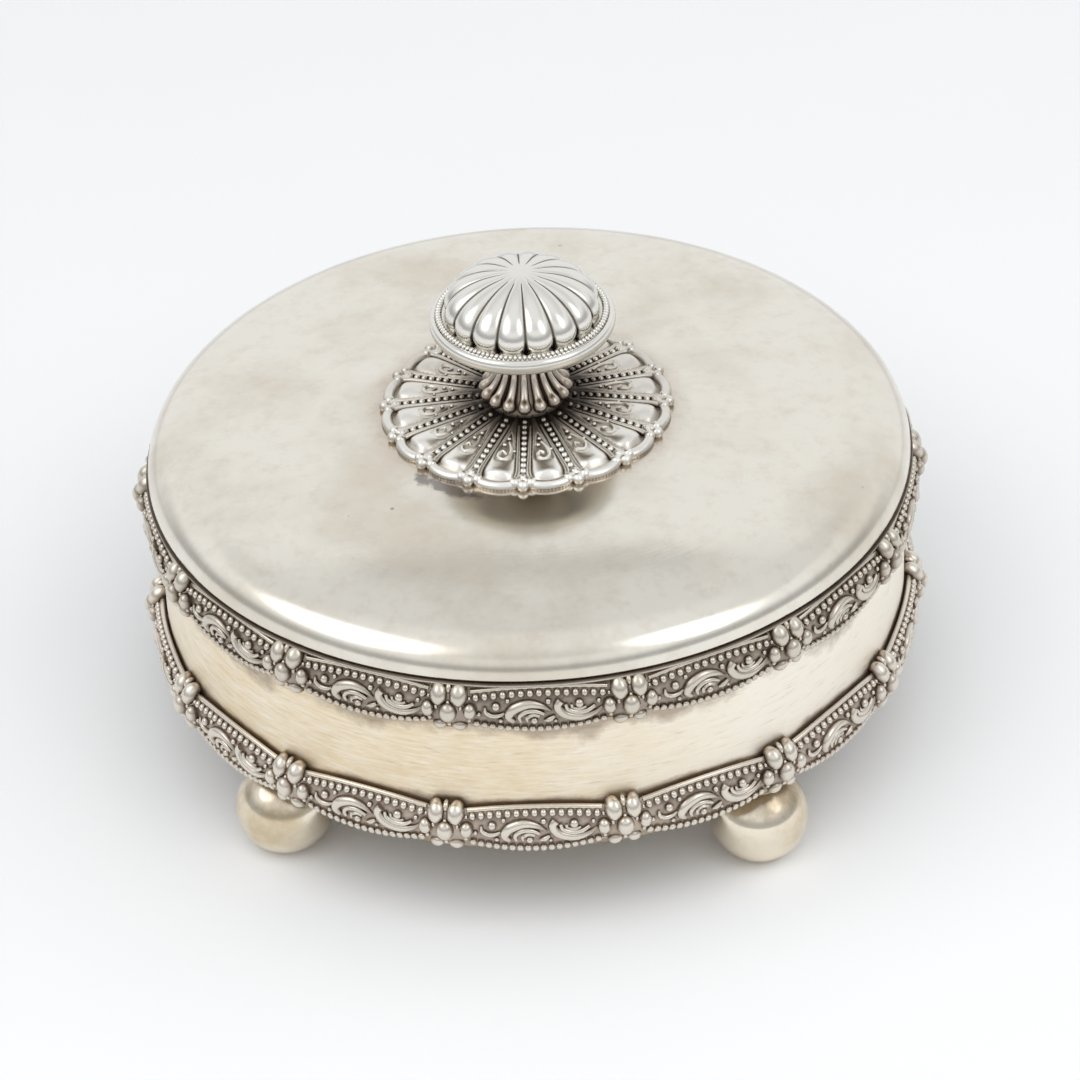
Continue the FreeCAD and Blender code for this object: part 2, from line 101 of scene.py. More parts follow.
def flowing(marks: Sequence[Sequence[float]], count: int) -> list[tuple[float, ...]]:
    """Points on a smooth curve that runs through every mark.

    Args:
        marks: Points to run through; further numbers, such as a radius, flow along too.
        count: Number of points.

    Returns:
        The points, from the first mark to the last.
    """
    ends = [marks[0], *marks, marks[-1]]
    spans = len(marks) - 1
    points = []
    for index in range(count):
        along = index / (count - 1) * spans
        span = min(int(along), spans - 1)
        t = along - span
        row = []
        for a, b, c, d in zip(*ends[span : span + 4]):
            row.append(b + 0.5 * t * (c - a + t * (2 * a - 5 * b + 4 * c - d + t * (3 * (b - c) + d - a))))
        points.append(tuple(row))
    return points


def arc(centre: Pair, radius: float, start: float, end: float, count: int) -> list[Pair]:
    """Points of a circular arc in a section; angles in degrees, 0 outwards and 90 up.

    Args:
        centre: Radius and height of the arc's centre.
        radius: Radius of the arc.
        start: First angle.
        end: Last angle.
        count: Number of points.

    Returns:
        The arc's points as (radius, height).
    """
    turns = [math.radians(start + (end - start) * index / (count - 1)) for index in range(count)]
    return [(centre[0] + radius * math.cos(turn), centre[1] + radius * math.sin(turn)) for turn in turns]


def smooth_step(value: float, low: float, high: float) -> float:
    """Soft step from 0 at low to 1 at high."""
    share = min(max((value - low) / (high - low), 0.0), 1.0)
    return share * share * (3.0 - 2.0 * share)


# Bench work


def pick(*pieces: Object) -> None:
    """Select these objects alone and make the first one active.

    Args:
        pieces: Objects to select; none of them clears the selection.
    """
    bpy.ops.object.select_all(action="DESELECT")
    for piece in pieces:
        piece.select_set(True)
    if pieces:
        bpy.context.view_layer.objects.active = pieces[0]


def clean_up(piece: Object, merge: float = 1e-7) -> Object:
    """Close a mesh's seams and turn its faces outwards.

    Args:
        piece: Mesh object.
        merge: Distance in metres below which points become one.

    Returns:
        The same object.
    """
    pick(piece)
    bpy.ops.object.mode_set(mode="EDIT")
    bpy.ops.mesh.select_all(action="SELECT")
    bpy.ops.mesh.remove_doubles(threshold=merge)
    bpy.ops.mesh.normals_make_consistent(inside=False)
    bpy.ops.object.mode_set(mode="OBJECT")
    return piece


def lathe(name: str, profile: Sequence[Pair], steps: int) -> Object:
    """Turn a section round the vertical axis.

    Args:
        name: Name of the new object.
        profile: (radius, height) points in mm, closed or running from axis to axis.
        steps: Number of steps round the axis.

    Returns:
        The turned piece.
    """
    pick()
    bpy.ops.mesh.primitive_plane_add(size=MM, location=(0.0, 0.0, 0.0))
    piece = bpy.context.object
    piece.name = name
    bpy.ops.object.mode_set(mode="EDIT")
    bpy.ops.mesh.select_all(action="SELECT")
    bpy.ops.mesh.merge(type="CENTER")
    bpy.ops.transform.translate(value=(profile[0][0] * MM, 0.0, profile[0][1] * MM))
    for (r0, z0), (r1, z1) in zip(profile, profile[1:]):
        move = ((r1 - r0) * MM, 0.0, (z1 - z0) * MM)
        bpy.ops.mesh.extrude_region_move(TRANSFORM_OT_translate={"value": move})
    bpy.ops.mesh.select_all(action="SELECT")
    bpy.ops.mesh.spin(steps=steps, angle=2 * math.pi, center=(0.0, 0.0, 0.0), axis=(0.0, 0.0, 1.0))
    bpy.ops.object.mode_set(mode="OBJECT")
    return clean_up(piece)


def sweep(name: str, marks: Sequence[Spot], radii: Sequence[float], sides: int, axis: str) -> Object:
    """Drive a round wire along a flat path.

    Args:
        name: Name of the new object.
        marks: Path in mm; it lies in a plane.
        radii: Radius of the wire at each point, in mm.
        sides: Sides of the wire.
        axis: "Z" for a path that lies flat, "Y" for one in the XZ plane.

    Returns:
        The wire, closed at both ends.
    """
    path = [Vector(mark) * MM for mark in marks]
    steps = [after - before for before, after in zip(path, path[1:])]
    ahead = steps[0].normalized()
    upright = Vector((0.0, 0.0, 1.0))
    across = upright if axis == "Z" else Vector((0.0, 1.0, 0.0))
    turn = upright.rotation_difference(ahead).to_euler()
    pick()
    bpy.ops.mesh.primitive_circle_add(
        vertices=sides, radius=radii[0] * MM, fill_type="NGON", location=path[0], rotation=turn
    )
    piece = bpy.context.object
    piece.name = name
    bpy.ops.object.transform_apply(location=True, rotation=True, scale=True)
    bpy.ops.object.mode_set(mode="EDIT")
    bpy.ops.mesh.select_all(action="SELECT")
    for index, step in enumerate(steps):
        here = path[index + 1]
        after = steps[min(index + 1, len(steps) - 1)]
        want = (step.normalized() + after.normalized()).normalized()
        bpy.ops.mesh.extrude_region_move(TRANSFORM_OT_translate={"value": step})
        angle = math.atan2(ahead.cross(want).dot(across), ahead.dot(want))
        bpy.ops.transform.rotate(value=-angle, orient_axis=axis, center_override=here)
        grow = radii[index + 1] / radii[index]
        bpy.ops.transform.resize(value=(grow, grow, grow), center_override=here)
        ahead = want
    bpy.ops.object.mode_set(mode="OBJECT")
    return clean_up(piece)


def button(name: str, segments: int, rings: int, sunk: float) -> Object:
    """Round-headed bead of 1 mm radius, cut flat below.

    Args:
        name: Name of the new object.
        segments: Steps round the bead.
        rings: Steps from pole to pole.
        sunk: Depth in mm below the centre at which the bead is cut.

    Returns:
        The bead, on the origin, its crown up.
    """
    pick()
    bpy.ops.mesh.primitive_uv_sphere_add(segments=segments, ring_count=rings, radius=MM, location=(0, 0, 0))
    piece = bpy.context.object
    piece.name = name
    bpy.ops.object.mode_set(mode="EDIT")
    bpy.ops.mesh.select_all(action="SELECT")
    bpy.ops.mesh.bisect(plane_co=(0, 0, -sunk * MM), plane_no=(0, 0, 1), use_fill=True, clear_inner=True)
    bpy.ops.object.mode_set(mode="OBJECT")
    return marked(piece, crowned)


def pillow(name: str) -> Object:
    """Squarish bead of 1 mm half width with rounded edges, cut flat below.

    Args:
        name: Name of the new object.

    Returns:
        The bead, on the origin, its crown up.
    """
    pick()
    bpy.ops.mesh.primitive_cube_add(size=2 * MM, location=(0, 0, 0))
    piece = bpy.context.object
    piece.name = name
    bpy.ops.object.mode_set(mode="EDIT")
    bpy.ops.mesh.select_all(action="SELECT")
    bpy.ops.mesh.bevel(offset=0.62 * MM, segments=2, affect="EDGES")
    bpy.ops.mesh.select_all(action="SELECT")
    bpy.ops.mesh.bisect(plane_co=(0, 0, -0.3 * MM), plane_no=(0, 0, 1), use_fill=True, clear_inner=True)
    bpy.ops.object.mode_set(mode="OBJECT")
    return marked(piece, crowned)


def reshaped(piece: Object, rule: Callable[[Vector], Vector]) -> Object:
    """Move every point of a mesh by a rule.

    Args:
        piece: Mesh object on the origin.
        rule: New place of a point, both in mm.

    Returns:
        The same object.
    """
    for vertex in piece.data.vertices:
        vertex.co = rule(vertex.co / MM) * MM
    piece.data.update()
    return piece


def placed(piece: Object, spot: Spot, size: Spot = (1.0, 1.0, 1.0), turn: float = 0.0) -> Object:
    """Copy a piece with its own mesh to a place.

    Args:
        piece: Object to copy.
        spot: Place in mm.
        size: Stretch along X, Y and Z before turning.
        turn: Turn about Z in degrees.

    Returns:
        The copy, with its place in its mesh.
    """
    copy = piece.copy()
    copy.data = piece.data.copy()
    bpy.context.collection.objects.link(copy)
    spin = Matrix.Rotation(math.radians(turn), 4, "Z")
    copy.data.transform(Matrix.Translation(Vector(spot) * MM) @ spin @ Matrix.Diagonal((*size, 1.0)))
    return copy


def joined(name: str, pieces: Sequence[Object]) -> Object:
    """Make one object of several.

    Args:
        name: Name of the whole.
        pieces: Mesh objects, which become one.

    Returns:
        The joined object.
    """
    pick(*pieces)
    bpy.ops.object.join()
    whole = bpy.context.object
    whole.name = name
    whole.data.name = name
    return whole


def scrapped(*patterns: Object) -> None:
    """Throw away the patterns that copies were made from."""
    for pattern in patterns:
        bpy.data.objects.remove(pattern)


def crowned(spot: Vector) -> float:
    """Relief of a bead of 1 mm radius: oxide round its foot, and painted shade darkening its flanks below a
    bright top.
    """
    return 0.12 + 0.88 * smooth_step(spot.z, 0.0, 0.9)


def marked(piece: Object, rule: Callable[[Vector], float]) -> Object:
    """Store how far each point stands out of the recesses.

    Args:
        piece: Mesh object.
        rule: Relief of a point in mm: 0 in a recess, 1 on a crown.

    Returns:
        The same object.
    """
    values = [min(max(rule(vertex.co / MM), 0.0), 1.0) for vertex in piece.data.vertices]
    layer = piece.data.attributes.get("relief") or piece.data.attributes.new("relief", "FLOAT", "POINT")
    layer.data.foreach_set("value", values)
    return piece


def dimmed(piece: Object, share: float) -> Object:
    """Lower a piece's stored relief to a share of it.

    Args:
        piece: Mesh object with a stored relief.
        share: Part of the relief that stays.

    Returns:
        The same object.
    """
    layer = piece.data.attributes["relief"]
    layer.data.foreach_set("value", [item.value * share for item in layer.data])
    return piece


def soiled(
    plate: Object, raised: Sequence[Object], spread: float, bare: Callable[[Vector], float]
) -> Object:
    """Mark a plate darker beside what stands on it: oxide gathered there, and painted shade where the
    raised pieces close round it.

    Args:
        plate: Flat plate.
        raised: Pieces that stand on it.
        spread: Distance in mm over which the oxide and painted shade thin out.
        bare: Relief of the open plate at a point in mm.

    Returns:
        The plate.
    """
    spots = [vertex.co / MM for piece in raised for vertex in piece.data.vertices]
    tree = KDTree(len(spots))
    for index, spot in enumerate(spots):
        tree.insert((spot.x, spot.y, 0.0), index)
    tree.balance()

    def rule(spot: Vector) -> float:
        """Relief of the open plate, less near a raised piece."""
        away = tree.find((spot.x, spot.y, 0.0))[2]
        # Oxide and painted shade: the plate darkens close to a raised piece.
        return bare(spot) * smooth_step(away, -0.4 * spread, spread)

    return marked(plate, rule)


def dressed(
    piece: Object, finish: "Finish", body: Body, nodes: Iterable[str], angle: float = 38.0
) -> Object:
    """Give a finished piece its metal, its shading and its body.

    Args:
        piece: Finished mesh object.
        finish: Its metal.
        body: Body that it rides on.
        nodes: CAD nodes that it stands for.
        angle: Edges sharper than this, in degrees, stay crisp.

    Returns:
        The same object.
    """
    piece.data.materials.clear()
    piece.data.materials.append(finish.material())
    pick(piece)
    bpy.ops.object.shade_smooth_by_angle(angle=math.radians(angle))
    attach(piece, body.value)
    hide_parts(*nodes)
    LOG.info("%s: %d faces", piece.name, len(piece.data.polygons))
    return piece


# Finishes


def linear(code: str) -> tuple[float, float, float, float]:
    """Linear colour of an sRGB hex code."""
    parts = [int(code[at : at + 2], 16) / 255 for at in (1, 3, 5)]
    return (*[c / 12.92 if c <= 0.04045 else ((c + 0.055) / 1.055) ** 2.4 for c in parts], 1.0)


def per_mm(size: float) -> float:
    """Texture scale, in cycles per metre, of a pattern whose marks are this many mm wide."""
    return 1.0 / (size * MM)


def add_node(
    tree: NodeTree,
    kind: str,
    settings: Optional[dict[Union[str, int], Any]] = None,
    links: Optional[Links] = None,
    out: Union[str, int] = 0,
) -> Optional[Socket]:
    """Add a node with its settings and links.

    Args:
        tree: Node tree to add to.
        kind: Node type without its common prefix.
        settings: Values of sockets and properties; "ramp" takes (place, hex code) stops.
        links: Sockets to link to inputs.
        out: Output to hand back.

    Returns:
        That output of the new node, or None if it has no outputs.
    """
    node = tree.nodes.new("ShaderNode" + kind)
    for key, value in (settings or {}).items():
        if key == "ramp":
            stops = node.color_ramp.elements
            while len(stops) < len(value):
                stops.new(1.0)
            for stop, (place, code) in zip(stops, value):
                stop.position = place
                stop.color = linear(code)
        elif isinstance(key, int) or key in node.inputs:
            node.inputs[key].default_value = value
        else:
            setattr(node, key, value)
    for key, socket in (links or {}).items():
        tree.links.new(socket, node.inputs[key])
    return node.outputs[out] if node.outputs else None


@dataclass(frozen=True)
class Finish:
    """A material and the way its surface was made."""

    name: str

    def material(self) -> Material:
        """Make the finish's material, once.

        Returns:
            The material.
        """
        made = bpy.data.materials.get(self.name)
        if made is None:
            made = bpy.data.materials.new(self.name)
            made.use_nodes = True
            made.node_tree.nodes.clear()
            add = partial(add_node, made.node_tree)
            shader = add("BsdfPrincipled", self.constants(), self.draw(add))
            add("OutputMaterial", None, {"Surface": shader})
        return made

    def constants(self) -> dict[str, float]:
        """Values of the shader that are the same all over."""
        return {"Metallic": 1.0}

    def draw(self, add: Adder) -> Links:
        """Draw the surface with a function that adds nodes; returns what the shader links to."""
        raise NotImplementedError


@dataclass(frozen=True)
class SpunSilver(Finish):
    """Sterling silver, spun over a chuck and hand-polished, with an old uneven tarnish film.

    The eye sees a soft white mirror with beige and rosy clouds, dark pin pits and turned rings.
    It is hazy round the rosette and rubbed dull along the edge.
    The rings are finer on real silver; they are drawn as coarse as they need to show.
    """

    name: str = "sterling_silver_spun_and_polished"
    bright: str = "#E8E3D8"
    film: str = "#D9D0C1"
    bloom: str = "#C6B9AA"
    pit: str = "#8F8274"
    scald: str = "#7F7976"
    patch_mm: float = 34.0
    mottle_mm: float = 4.0
    pit_mm: float = 6.5
    ring_mm: float = 0.7
    halo: Pair = (28.0, 34.0)
    haze: Pair = (31.0, 42.0)
    worn_edge: Pair = (52.0, 62.0)
    scald_at: Pair = (-13.0, -24.2)
    scald_half: Pair = (8.5, 2.3)
    scald_turn: float = -29.0

    def scalded(self, add: Adder, flat: Socket, mottle: Socket) -> Socket:
        """Mark where solder was melted beside the rosette.

        Args:
            add: Function that adds a node.
            flat: Place of a point, seen from above.
            mottle: Fine mottling that frays the mark's edge.

        Returns:
            Strength of the mark.
        """
        oval = {
            "vector_type": "TEXTURE",
            "Location": (self.scald_at[0] * MM, self.scald_at[1] * MM, 0.0),
            "Rotation": (0.0, 0.0, math.radians(self.scald_turn)),
            "Scale": (self.scald_half[0] * MM, self.scald_half[1] * MM, 1.0),
        }
        local = add("Mapping", oval, {"Vector": flat})
        away = add("VectorMath", {"operation": "LENGTH"}, {0: local}, "Value")
        frayed = add("Math", {"operation": "MULTIPLY_ADD", 1: 2.2}, {0: mottle, 2: away})
        fade = {**SOFT, "From Min": 1.55, "From Max": 2.05, "To Min": 0.8, "To Max": 0.0}
        return add("MapRange", fade, {"Value": frayed})

    def tint(self, add: Adder, flat: Socket, reach: Socket, patch: Socket, place: Socket) -> Socket:
        """Draw patches, mottling, the halo and solder mark by the rosette, and pits.

        Args:
            add: Function that adds a node.
            flat: Place of a point, seen from above.
            reach: Distance of a point from the axis.
            patch: Large clouds.
            place: Place of a point.

        Returns:
            The colour.
        """
        fine = {"Scale": per_mm(self.mottle_mm), "Detail": 5.0, "Roughness": 0.7}
        mottle = add("TexNoise", fine, {"Vector": place})
        film = add("MapRange", {**SOFT, "From Min": 0.42, "From Max": 0.68}, {"Value": patch})
        speck = add("MapRange", {"From Min": 0.5, "From Max": 0.75, "To Max": 0.3}, {"Value": mottle})
        wander = add("Math", {"operation": "MULTIPLY_ADD", 1: 8.0 * MM}, {0: mottle, 2: reach})
        near, far = self.halo
        fade = {**SOFT, "From Min": near * MM, "From Max": far * MM, "To Min": 0.9, "To Max": 0.0}
        halo = add("MapRange", fade, {"Value": wander})
        cell = add("TexVoronoi", {"Scale": per_mm(self.pit_mm), "Randomness": 1.0}, {"Vector": place})
        dot = {"From Min": 0.03, "From Max": 0.075, "To Min": 0.8, "To Max": 0.0}
        hole = add("MapRange", dot, {"Value": cell})
        rare = add("MapRange", {"From Min": 0.5, "From Max": 0.62}, {"Value": patch})
        pits = add("Math", {"operation": "MULTIPLY"}, {0: hole, 1: rare})
        colour = add("MixRGB", {"Color1": linear(self.bright), "Color2": linear(self.film)}, {"Fac": film})
        mark = self.scalded(add, flat, mottle)
        layers = ((self.bloom, speck), (self.bloom, halo), (self.scald, mark), (self.pit, pits))
        for code, share in layers:
            colour = add("MixRGB", {"Color2": linear(code)}, {"Fac": share, "Color1": colour})
        return colour

    def draw(self, add: Adder) -> Links:
        """Draw the tarnish, the haze, the worn edge and the turned rings.

        Args:
            add: Function that adds a node.

        Returns:
            Sockets that the shader links to.
        """
        place = add("TexCoord", out="Object")
        flat = add("VectorMath", {"operation": "MULTIPLY", 1: (1.0, 1.0, 0.0)}, {0: place})
        reach = add("VectorMath", {"operation": "LENGTH"}, {0: flat}, "Value")
        coarse = {"Scale": per_mm(self.patch_mm), "Detail": 8.0, "Roughness": 0.6}
        patch = add("TexNoise", coarse, {"Vector": place})
        spread = {"From Min": 0.3, "From Max": 0.7, "To Min": 0.045, "To Max": 0.12}
        gloss = add("MapRange", spread, {"Value": patch})
        start, end = self.worn_edge
        wear = {"From Min": start * MM, "From Max": end * MM, "To Max": 0.12}
        rubbed = add("MapRange", wear, {"Value": reach})
        near, far = self.haze
        veil = {"From Min": near * MM, "From Max": far * MM, "To Min": 0.09, "To Max": 0.0}
        hazed = add("MapRange", veil, {"Value": reach})
        dulled = add("Math", {"operation": "ADD"}, {0: gloss, 1: rubbed})
        matt = add("Math", {"operation": "ADD"}, {0: dulled, 1: hazed})
        ring = add("Math", {"operation": "MULTIPLY", 1: per_mm(self.ring_mm)}, {0: reach})
        lines = add("TexNoise", {"noise_dimensions": "1D", "Scale": 1.0, "Detail": 2.0}, {"W": ring})
        bump = add("Bump", {"Strength": 0.25, "Distance": 0.006 * MM}, {"Height": lines})
        colour = self.tint(add, flat, reach, patch, place)
        return {"Base Color": colour, "Roughness": matt, "Normal": bump}


@dataclass(frozen=True)
class PolishedSilver(Finish):
    """Sterling silver, turned and polished by hand, with a thin tarnish film.

    The eye sees a soft straw-coloured mirror with faint clouds and scratches, brown near the collets:
    tarnish, and a painted dark reflection of the box's underside.
    The scratches are finer on real silver; they are drawn as coarse as they need to show.
    """

    name: str = "sterling_silver_polished_straw_film"
    bright: str = "#EEE4D2"
    film: str = "#D3C3A5"
    brown: str = "#857159"
    cloud_mm: float = 9.0
    scratch_mm: float = 0.35
    brown_span: Pair = (16.0, 22.0)
    dull: Pair = (0.09, 0.2)

    def draw(self, add: Adder) -> Links:
        """Draw the clouding, the brown upper part, which is tarnish and a painted dark reflection, and the
        rubbing scratches.

        Args:
            add: Function that adds a node.

        Returns:
            Sockets that the shader links to.
        """
        place = add("TexCoord", out="Object")
        clouding = {"Scale": per_mm(self.cloud_mm), "Detail": 7.0, "Roughness": 0.62}
        cloud = add("TexNoise", clouding, {"Vector": place})
        scratching = {"Scale": per_mm(self.scratch_mm), "Detail": 3.0, "Distortion": 1.5}
        rub = add("TexNoise", scratching, {"Vector": place})
        film = add("MapRange", {**SOFT, "From Min": 0.38, "From Max": 0.68}, {"Value": cloud})
        straw = add("MixRGB", {"Color1": linear(self.bright), "Color2": linear(self.film)}, {"Fac": film})
        height = add("SeparateXYZ", None, {"Vector": place}, "Z")
        # Browner towards the top: tarnish, and a painted reflection of the box's dark underside.
        ragged = add("Math", {"operation": "MULTIPLY_ADD", 1: 8.0 * MM}, {0: cloud, 2: height})
        low, high = self.brown_span
        rising = {"From Min": low * MM, "From Max": high * MM, "To Max": 0.8}
        tarnish = add("MapRange", rising, {"Value": ragged})
        colour = add("MixRGB", {"Color2": linear(self.brown)}, {"Fac": tarnish, "Color1": straw})
        spread = {"From Min": 0.3, "From Max": 0.7, "To Min": self.dull[0], "To Max": self.dull[1]}
        gloss = add("MapRange", spread, {"Value": cloud})
        matt = add("Math", {"operation": "MULTIPLY_ADD", 1: 0.2}, {0: tarnish, 2: gloss})
        bump = add("Bump", {"Strength": 0.2, "Distance": 0.004 * MM}, {"Height": rub})
        return {"Base Color": colour, "Roughness": matt, "Normal": bump}


@dataclass(frozen=True)
class RolledSilver(Finish):
    """Sterling silver sheet, rolled and rubbed lengthwise, tarnished to straw yellow.

    The eye sees a satin yellow-white band with level streaks, browner along the borders: grime, and painted
    shade beside their edges.
    The streaks are finer on real sheet; they are drawn as coarse as they need to show.
    """

    name: str = "sterling_silver_rolled_sheet"
    bright: str = "#FBF5E9"
    film: str = "#E6D1A9"
    dirt: str = "#8F7966"
    streak_mm: float = 0.6
    streak_run: float = 8.0
    scratch_mm: float = 0.4
    scratch_run: float = 12.0
    patch_mm: float = 12.0
    straw_front: Pair = (-63.0, -30.0)
    straw_side: Spot = (0.42, 0.91, 0.0)
    dirt_fade: Pair = (0.05, 0.29)

    def draw(self, add: Adder) -> Links:
        """Draw the level streaks, the straw patches, and the grime and painted shade along the borders.

        Args:
            add: Function that adds a node.

        Returns:
            Sockets that the shader links to.
        """
        place = add("TexCoord", out="Object")
        run = (1.0 / self.streak_run, 1.0 / self.streak_run, 1.0)
        level = add("VectorMath", {"operation": "MULTIPLY", 1: run}, {0: place})
        streaks = {"Scale": per_mm(self.streak_mm), "Detail": 5.0, "Roughness": 0.65}
        streak = add("TexNoise", streaks, {"Vector": level})
        patches = {"Scale": per_mm(self.patch_mm), "Detail": 5.0, "Roughness": 0.6}
        patch = add("TexNoise", patches, {"Vector": place})
        blend = add("MixRGB", {"Fac": 0.35}, {"Color1": streak, "Color2": patch})
        straw = add("MapRange", {**SOFT, "From Min": 0.1, "From Max": 0.8}, {"Value": blend})
        side = add("VectorMath", {"operation": "DOT_PRODUCT", 1: self.straw_side}, {0: place}, "Value")
        most, least = self.straw_front
        facing = {"From Min": most * MM, "From Max": least * MM, "To Min": 1.0, "To Max": 0.12}
        front = add("MapRange", facing, {"Value": side})
        film = add("Math", {"operation": "MULTIPLY"}, {0: straw, 1: front})
        thin = (1.0 / self.scratch_run, 1.0 / self.scratch_run, 1.0)
        along = add("VectorMath", {"operation": "MULTIPLY", 1: thin}, {0: place})
        scratches = {"Scale": per_mm(self.scratch_mm), "Detail": 3.0, "Roughness": 0.7}
        scratch = add("TexNoise", scratches, {"Vector": along})
        scored = add("MapRange", {"From Min": 0.58, "From Max": 0.76, "To Max": 0.3}, {"Value": scratch})
        relief = add("Attribute", {"attribute_name": "relief"}, None, "Fac")
        wander = add("MapRange", {"To Min": -0.6, "To Max": 0.6}, {"Value": patch})
        ragged = add("Math", {"operation": "ADD"}, {0: relief, 1: wander})
        # Darker along the borders' edges: grime, and painted shade where the borders stand out from the
        # wall.
        dirtiest, clean = self.dirt_fade
        fade = {"From Min": dirtiest, "From Max": clean, "To Min": 0.66, "To Max": 0.0}
        edge = add("MapRange", fade, {"Value": ragged})
        colour = add("MixRGB", {"Color1": linear(self.bright), "Color2": linear(self.film)}, {"Fac": film})
        for share in (scored, edge):
            colour = add("MixRGB", {"Color2": linear(self.dirt)}, {"Fac": share, "Color1": colour})
        spread = {"From Min": 0.3, "From Max": 0.7, "To Min": 0.36, "To Max": 0.52}
        gloss = add("MapRange", spread, {"Value": streak})
        bump = add("Bump", {"Strength": 0.3, "Distance": 0.012 * MM}, {"Height": streak})
        return {"Base Color": colour, "Roughness": gloss, "Normal": bump}


@dataclass(frozen=True)
class StampedSilver(Finish):
    """Sterling silver, struck in a die and oxidised, then rubbed bright on its crowns.

    The eye sees white crowns over brown-grey recesses that go nearly black where no cloth can reach.
    """

    name: str = "sterling_silver_die_struck_oxidised"
    crevice: str = "#665A51"
    recess: str = "#94887B"
    slope: str = "#B0A597"
    crown: str = "#D3CBBE"
    stops: tuple[float, float, float, float] = (0.02, 0.3, 0.6, 0.95)
    grime_mm: float = 2.2
    grime: float = 0.3
    wear_mm: float = 15.0
    wear: float = 0.35
    dull: Pair = (0.46, 0.27)

    def draw(self, add: Adder) -> Links:
        """Draw the oxide by the relief that is stored on the mesh.

        Args:
            add: Function that adds a node.

        Returns:
            Sockets that the shader links to.
        """
        place = add("TexCoord", out="Object")
        worn = add("Attribute", {"attribute_name": "relief"}, None, "Fac")
        soiling = {"Scale": per_mm(self.grime_mm), "Detail": 5.0, "Roughness": 0.65}
        grime = add("TexNoise", soiling, {"Vector": place})
        handled = add("TexNoise", {"Scale": per_mm(self.wear_mm), "Detail": 2.0}, {"Vector": place})
        for pattern, share in ((grime, self.grime), (handled, self.wear)):
            uneven = add("Math", {"operation": "SUBTRACT", 1: 0.5}, {0: pattern})
            worn = add("Math", {"operation": "MULTIPLY_ADD", 1: share}, {0: uneven, 2: worn})
        codes = (self.crevice, self.recess, self.slope, self.crown)
        oxide = add("ValToRGB", {"ramp": list(zip(self.stops, codes))}, {"Fac": worn})
        spread = {"From Min": 0.0, "From Max": 0.7, "To Min": self.dull[0], "To Max": self.dull[1]}
        gloss = add("MapRange", spread, {"Value": worn})
        bump = add("Bump", {"Strength": 0.3, "Distance": 0.03 * MM}, {"Height": grime})
        return {"Base Color": oxide, "Roughness": gloss, "Normal": bump}


@dataclass(frozen=True)
class TurnedSteel(Finish):
    """Mild steel, turned and left bare.

    The eye sees grey metal with fine tool rings and a little brown in the hollows.
    """

    name: str = "mild_steel_turned"
    bright: str = "#B9B8B4"
    brown: str = "#857868"
    ring_mm: float = 0.25
    spot_mm: float = 2.0

    def draw(self, add: Adder) -> Links:
        """Draw the brown spots and the tool rings.

        Args:
            add: Function that adds a node.

        Returns:
            Sockets that the shader links to.
        """
        place = add("TexCoord", out="Object")
        spot = add("TexNoise", {"Scale": per_mm(self.spot_mm), "Detail": 6.0}, {"Vector": place})
        share = add("MapRange", {"From Min": 0.45, "From Max": 0.7}, {"Value": spot})
        tones = {"Color1": linear(self.bright), "Color2": linear(self.brown)}
        colour = add("MixRGB", tones, {"Fac": share})
        gloss = add("MapRange", {"To Min": 0.25, "To Max": 0.55}, {"Value": spot})
        flat = add("VectorMath", {"operation": "MULTIPLY", 1: (1.0, 1.0, 0.0)}, {0: place})
        reach = add("VectorMath", {"operation": "LENGTH"}, {0: flat}, "Value")
        turn = add("Math", {"operation": "MULTIPLY", 1: per_mm(self.ring_mm)}, {0: reach})
        rings = add("TexNoise", {"noise_dimensions": "1D", "Scale": 1.0}, {"W": turn})
        bump = add("Bump", {"Strength": 0.4, "Distance": 0.02 * MM}, {"Height": rings})
        return {"Base Color": colour, "Roughness": gloss, "Normal": bump}


@dataclass(frozen=True)
class MattePaper(Finish):
    """Matte white backing paper.  The eye sees an even, faintly cool white."""

    name: str = "matte_white_paper"
    white: str = "#FAFBFC"
    shade: str = "#F7F8F9"
    cloud_mm: float = 90.0

    def constants(self) -> dict[str, float]:
        """Values of the shader that are the same all over."""
        return {"Metallic": 0.0, "Roughness": 0.95, "Specular IOR Level": 0.0}

    def draw(self, add: Adder) -> Links:
        """Draw the paper's faint clouds.

        Args:
            add: Function that adds a node.

        Returns:
            Sockets that the shader links to.
        """
        place = add("TexCoord", out="Object")
        cloud = add("TexNoise", {"Scale": per_mm(self.cloud_mm), "Detail": 3.0}, {"Vector": place})
        whites = {"Color1": linear(self.white), "Color2": linear(self.shade)}
        return {"Base Color": add("MixRGB", whites, {"Fac": cloud})}


SPUN = SpunSilver()
POLISHED = PolishedSilver()
ROLLED = RolledSilver()
# The base plate was never polished: a dull grey-brown.
UNPOLISHED = RolledSilver(name="sterling_silver_rolled_sheet_unpolished", bright="#B3A794", film="#94846C")
STAMPED = StampedSilver()
# The lower border is a little paler.
PALE = StampedSilver(
    name="sterling_silver_die_struck_pale",
    crevice="#75685E",
    recess="#AA9C8E",
    slope="#C0B5A7",
    crown="#E0D8CC",
)
# The rosette: white petals over black rays.
BLACKENED = StampedSilver(
    name="sterling_silver_die_struck_blackened",
    crevice="#453F3A",
    recess="#9C9287",
    slope="#CFC8BD",
    crown="#F1EEE7",
    stops=(0.04, 0.26, 0.5, 0.9),
    dull=(0.5, 0.3),
)
# The stem: grey-brown ribs, a little lighter on their backs.
ANTIQUED = StampedSilver(
    name="sterling_silver_cast_ribs_oxidised",
    crevice="#5E5248",
    recess="#8F8175",
    slope="#AEA193",
    crown="#D2CABE",
)
# Cap, beading and saucer: bright white metal with thin black lines in the grooves.
GADROONED = StampedSilver(
    name="sterling_silver_chased_grooves_oxidised",
    crevice="#3A342E",
    recess="#7F786F",
    slope="#CBC7BE",
    crown="#E6E3DC",
    stops=(0.04, 0.2, 0.42, 0.75),
    grime=0.08,
    wear=0.0,
    dull=(0.7, 0.2),
)
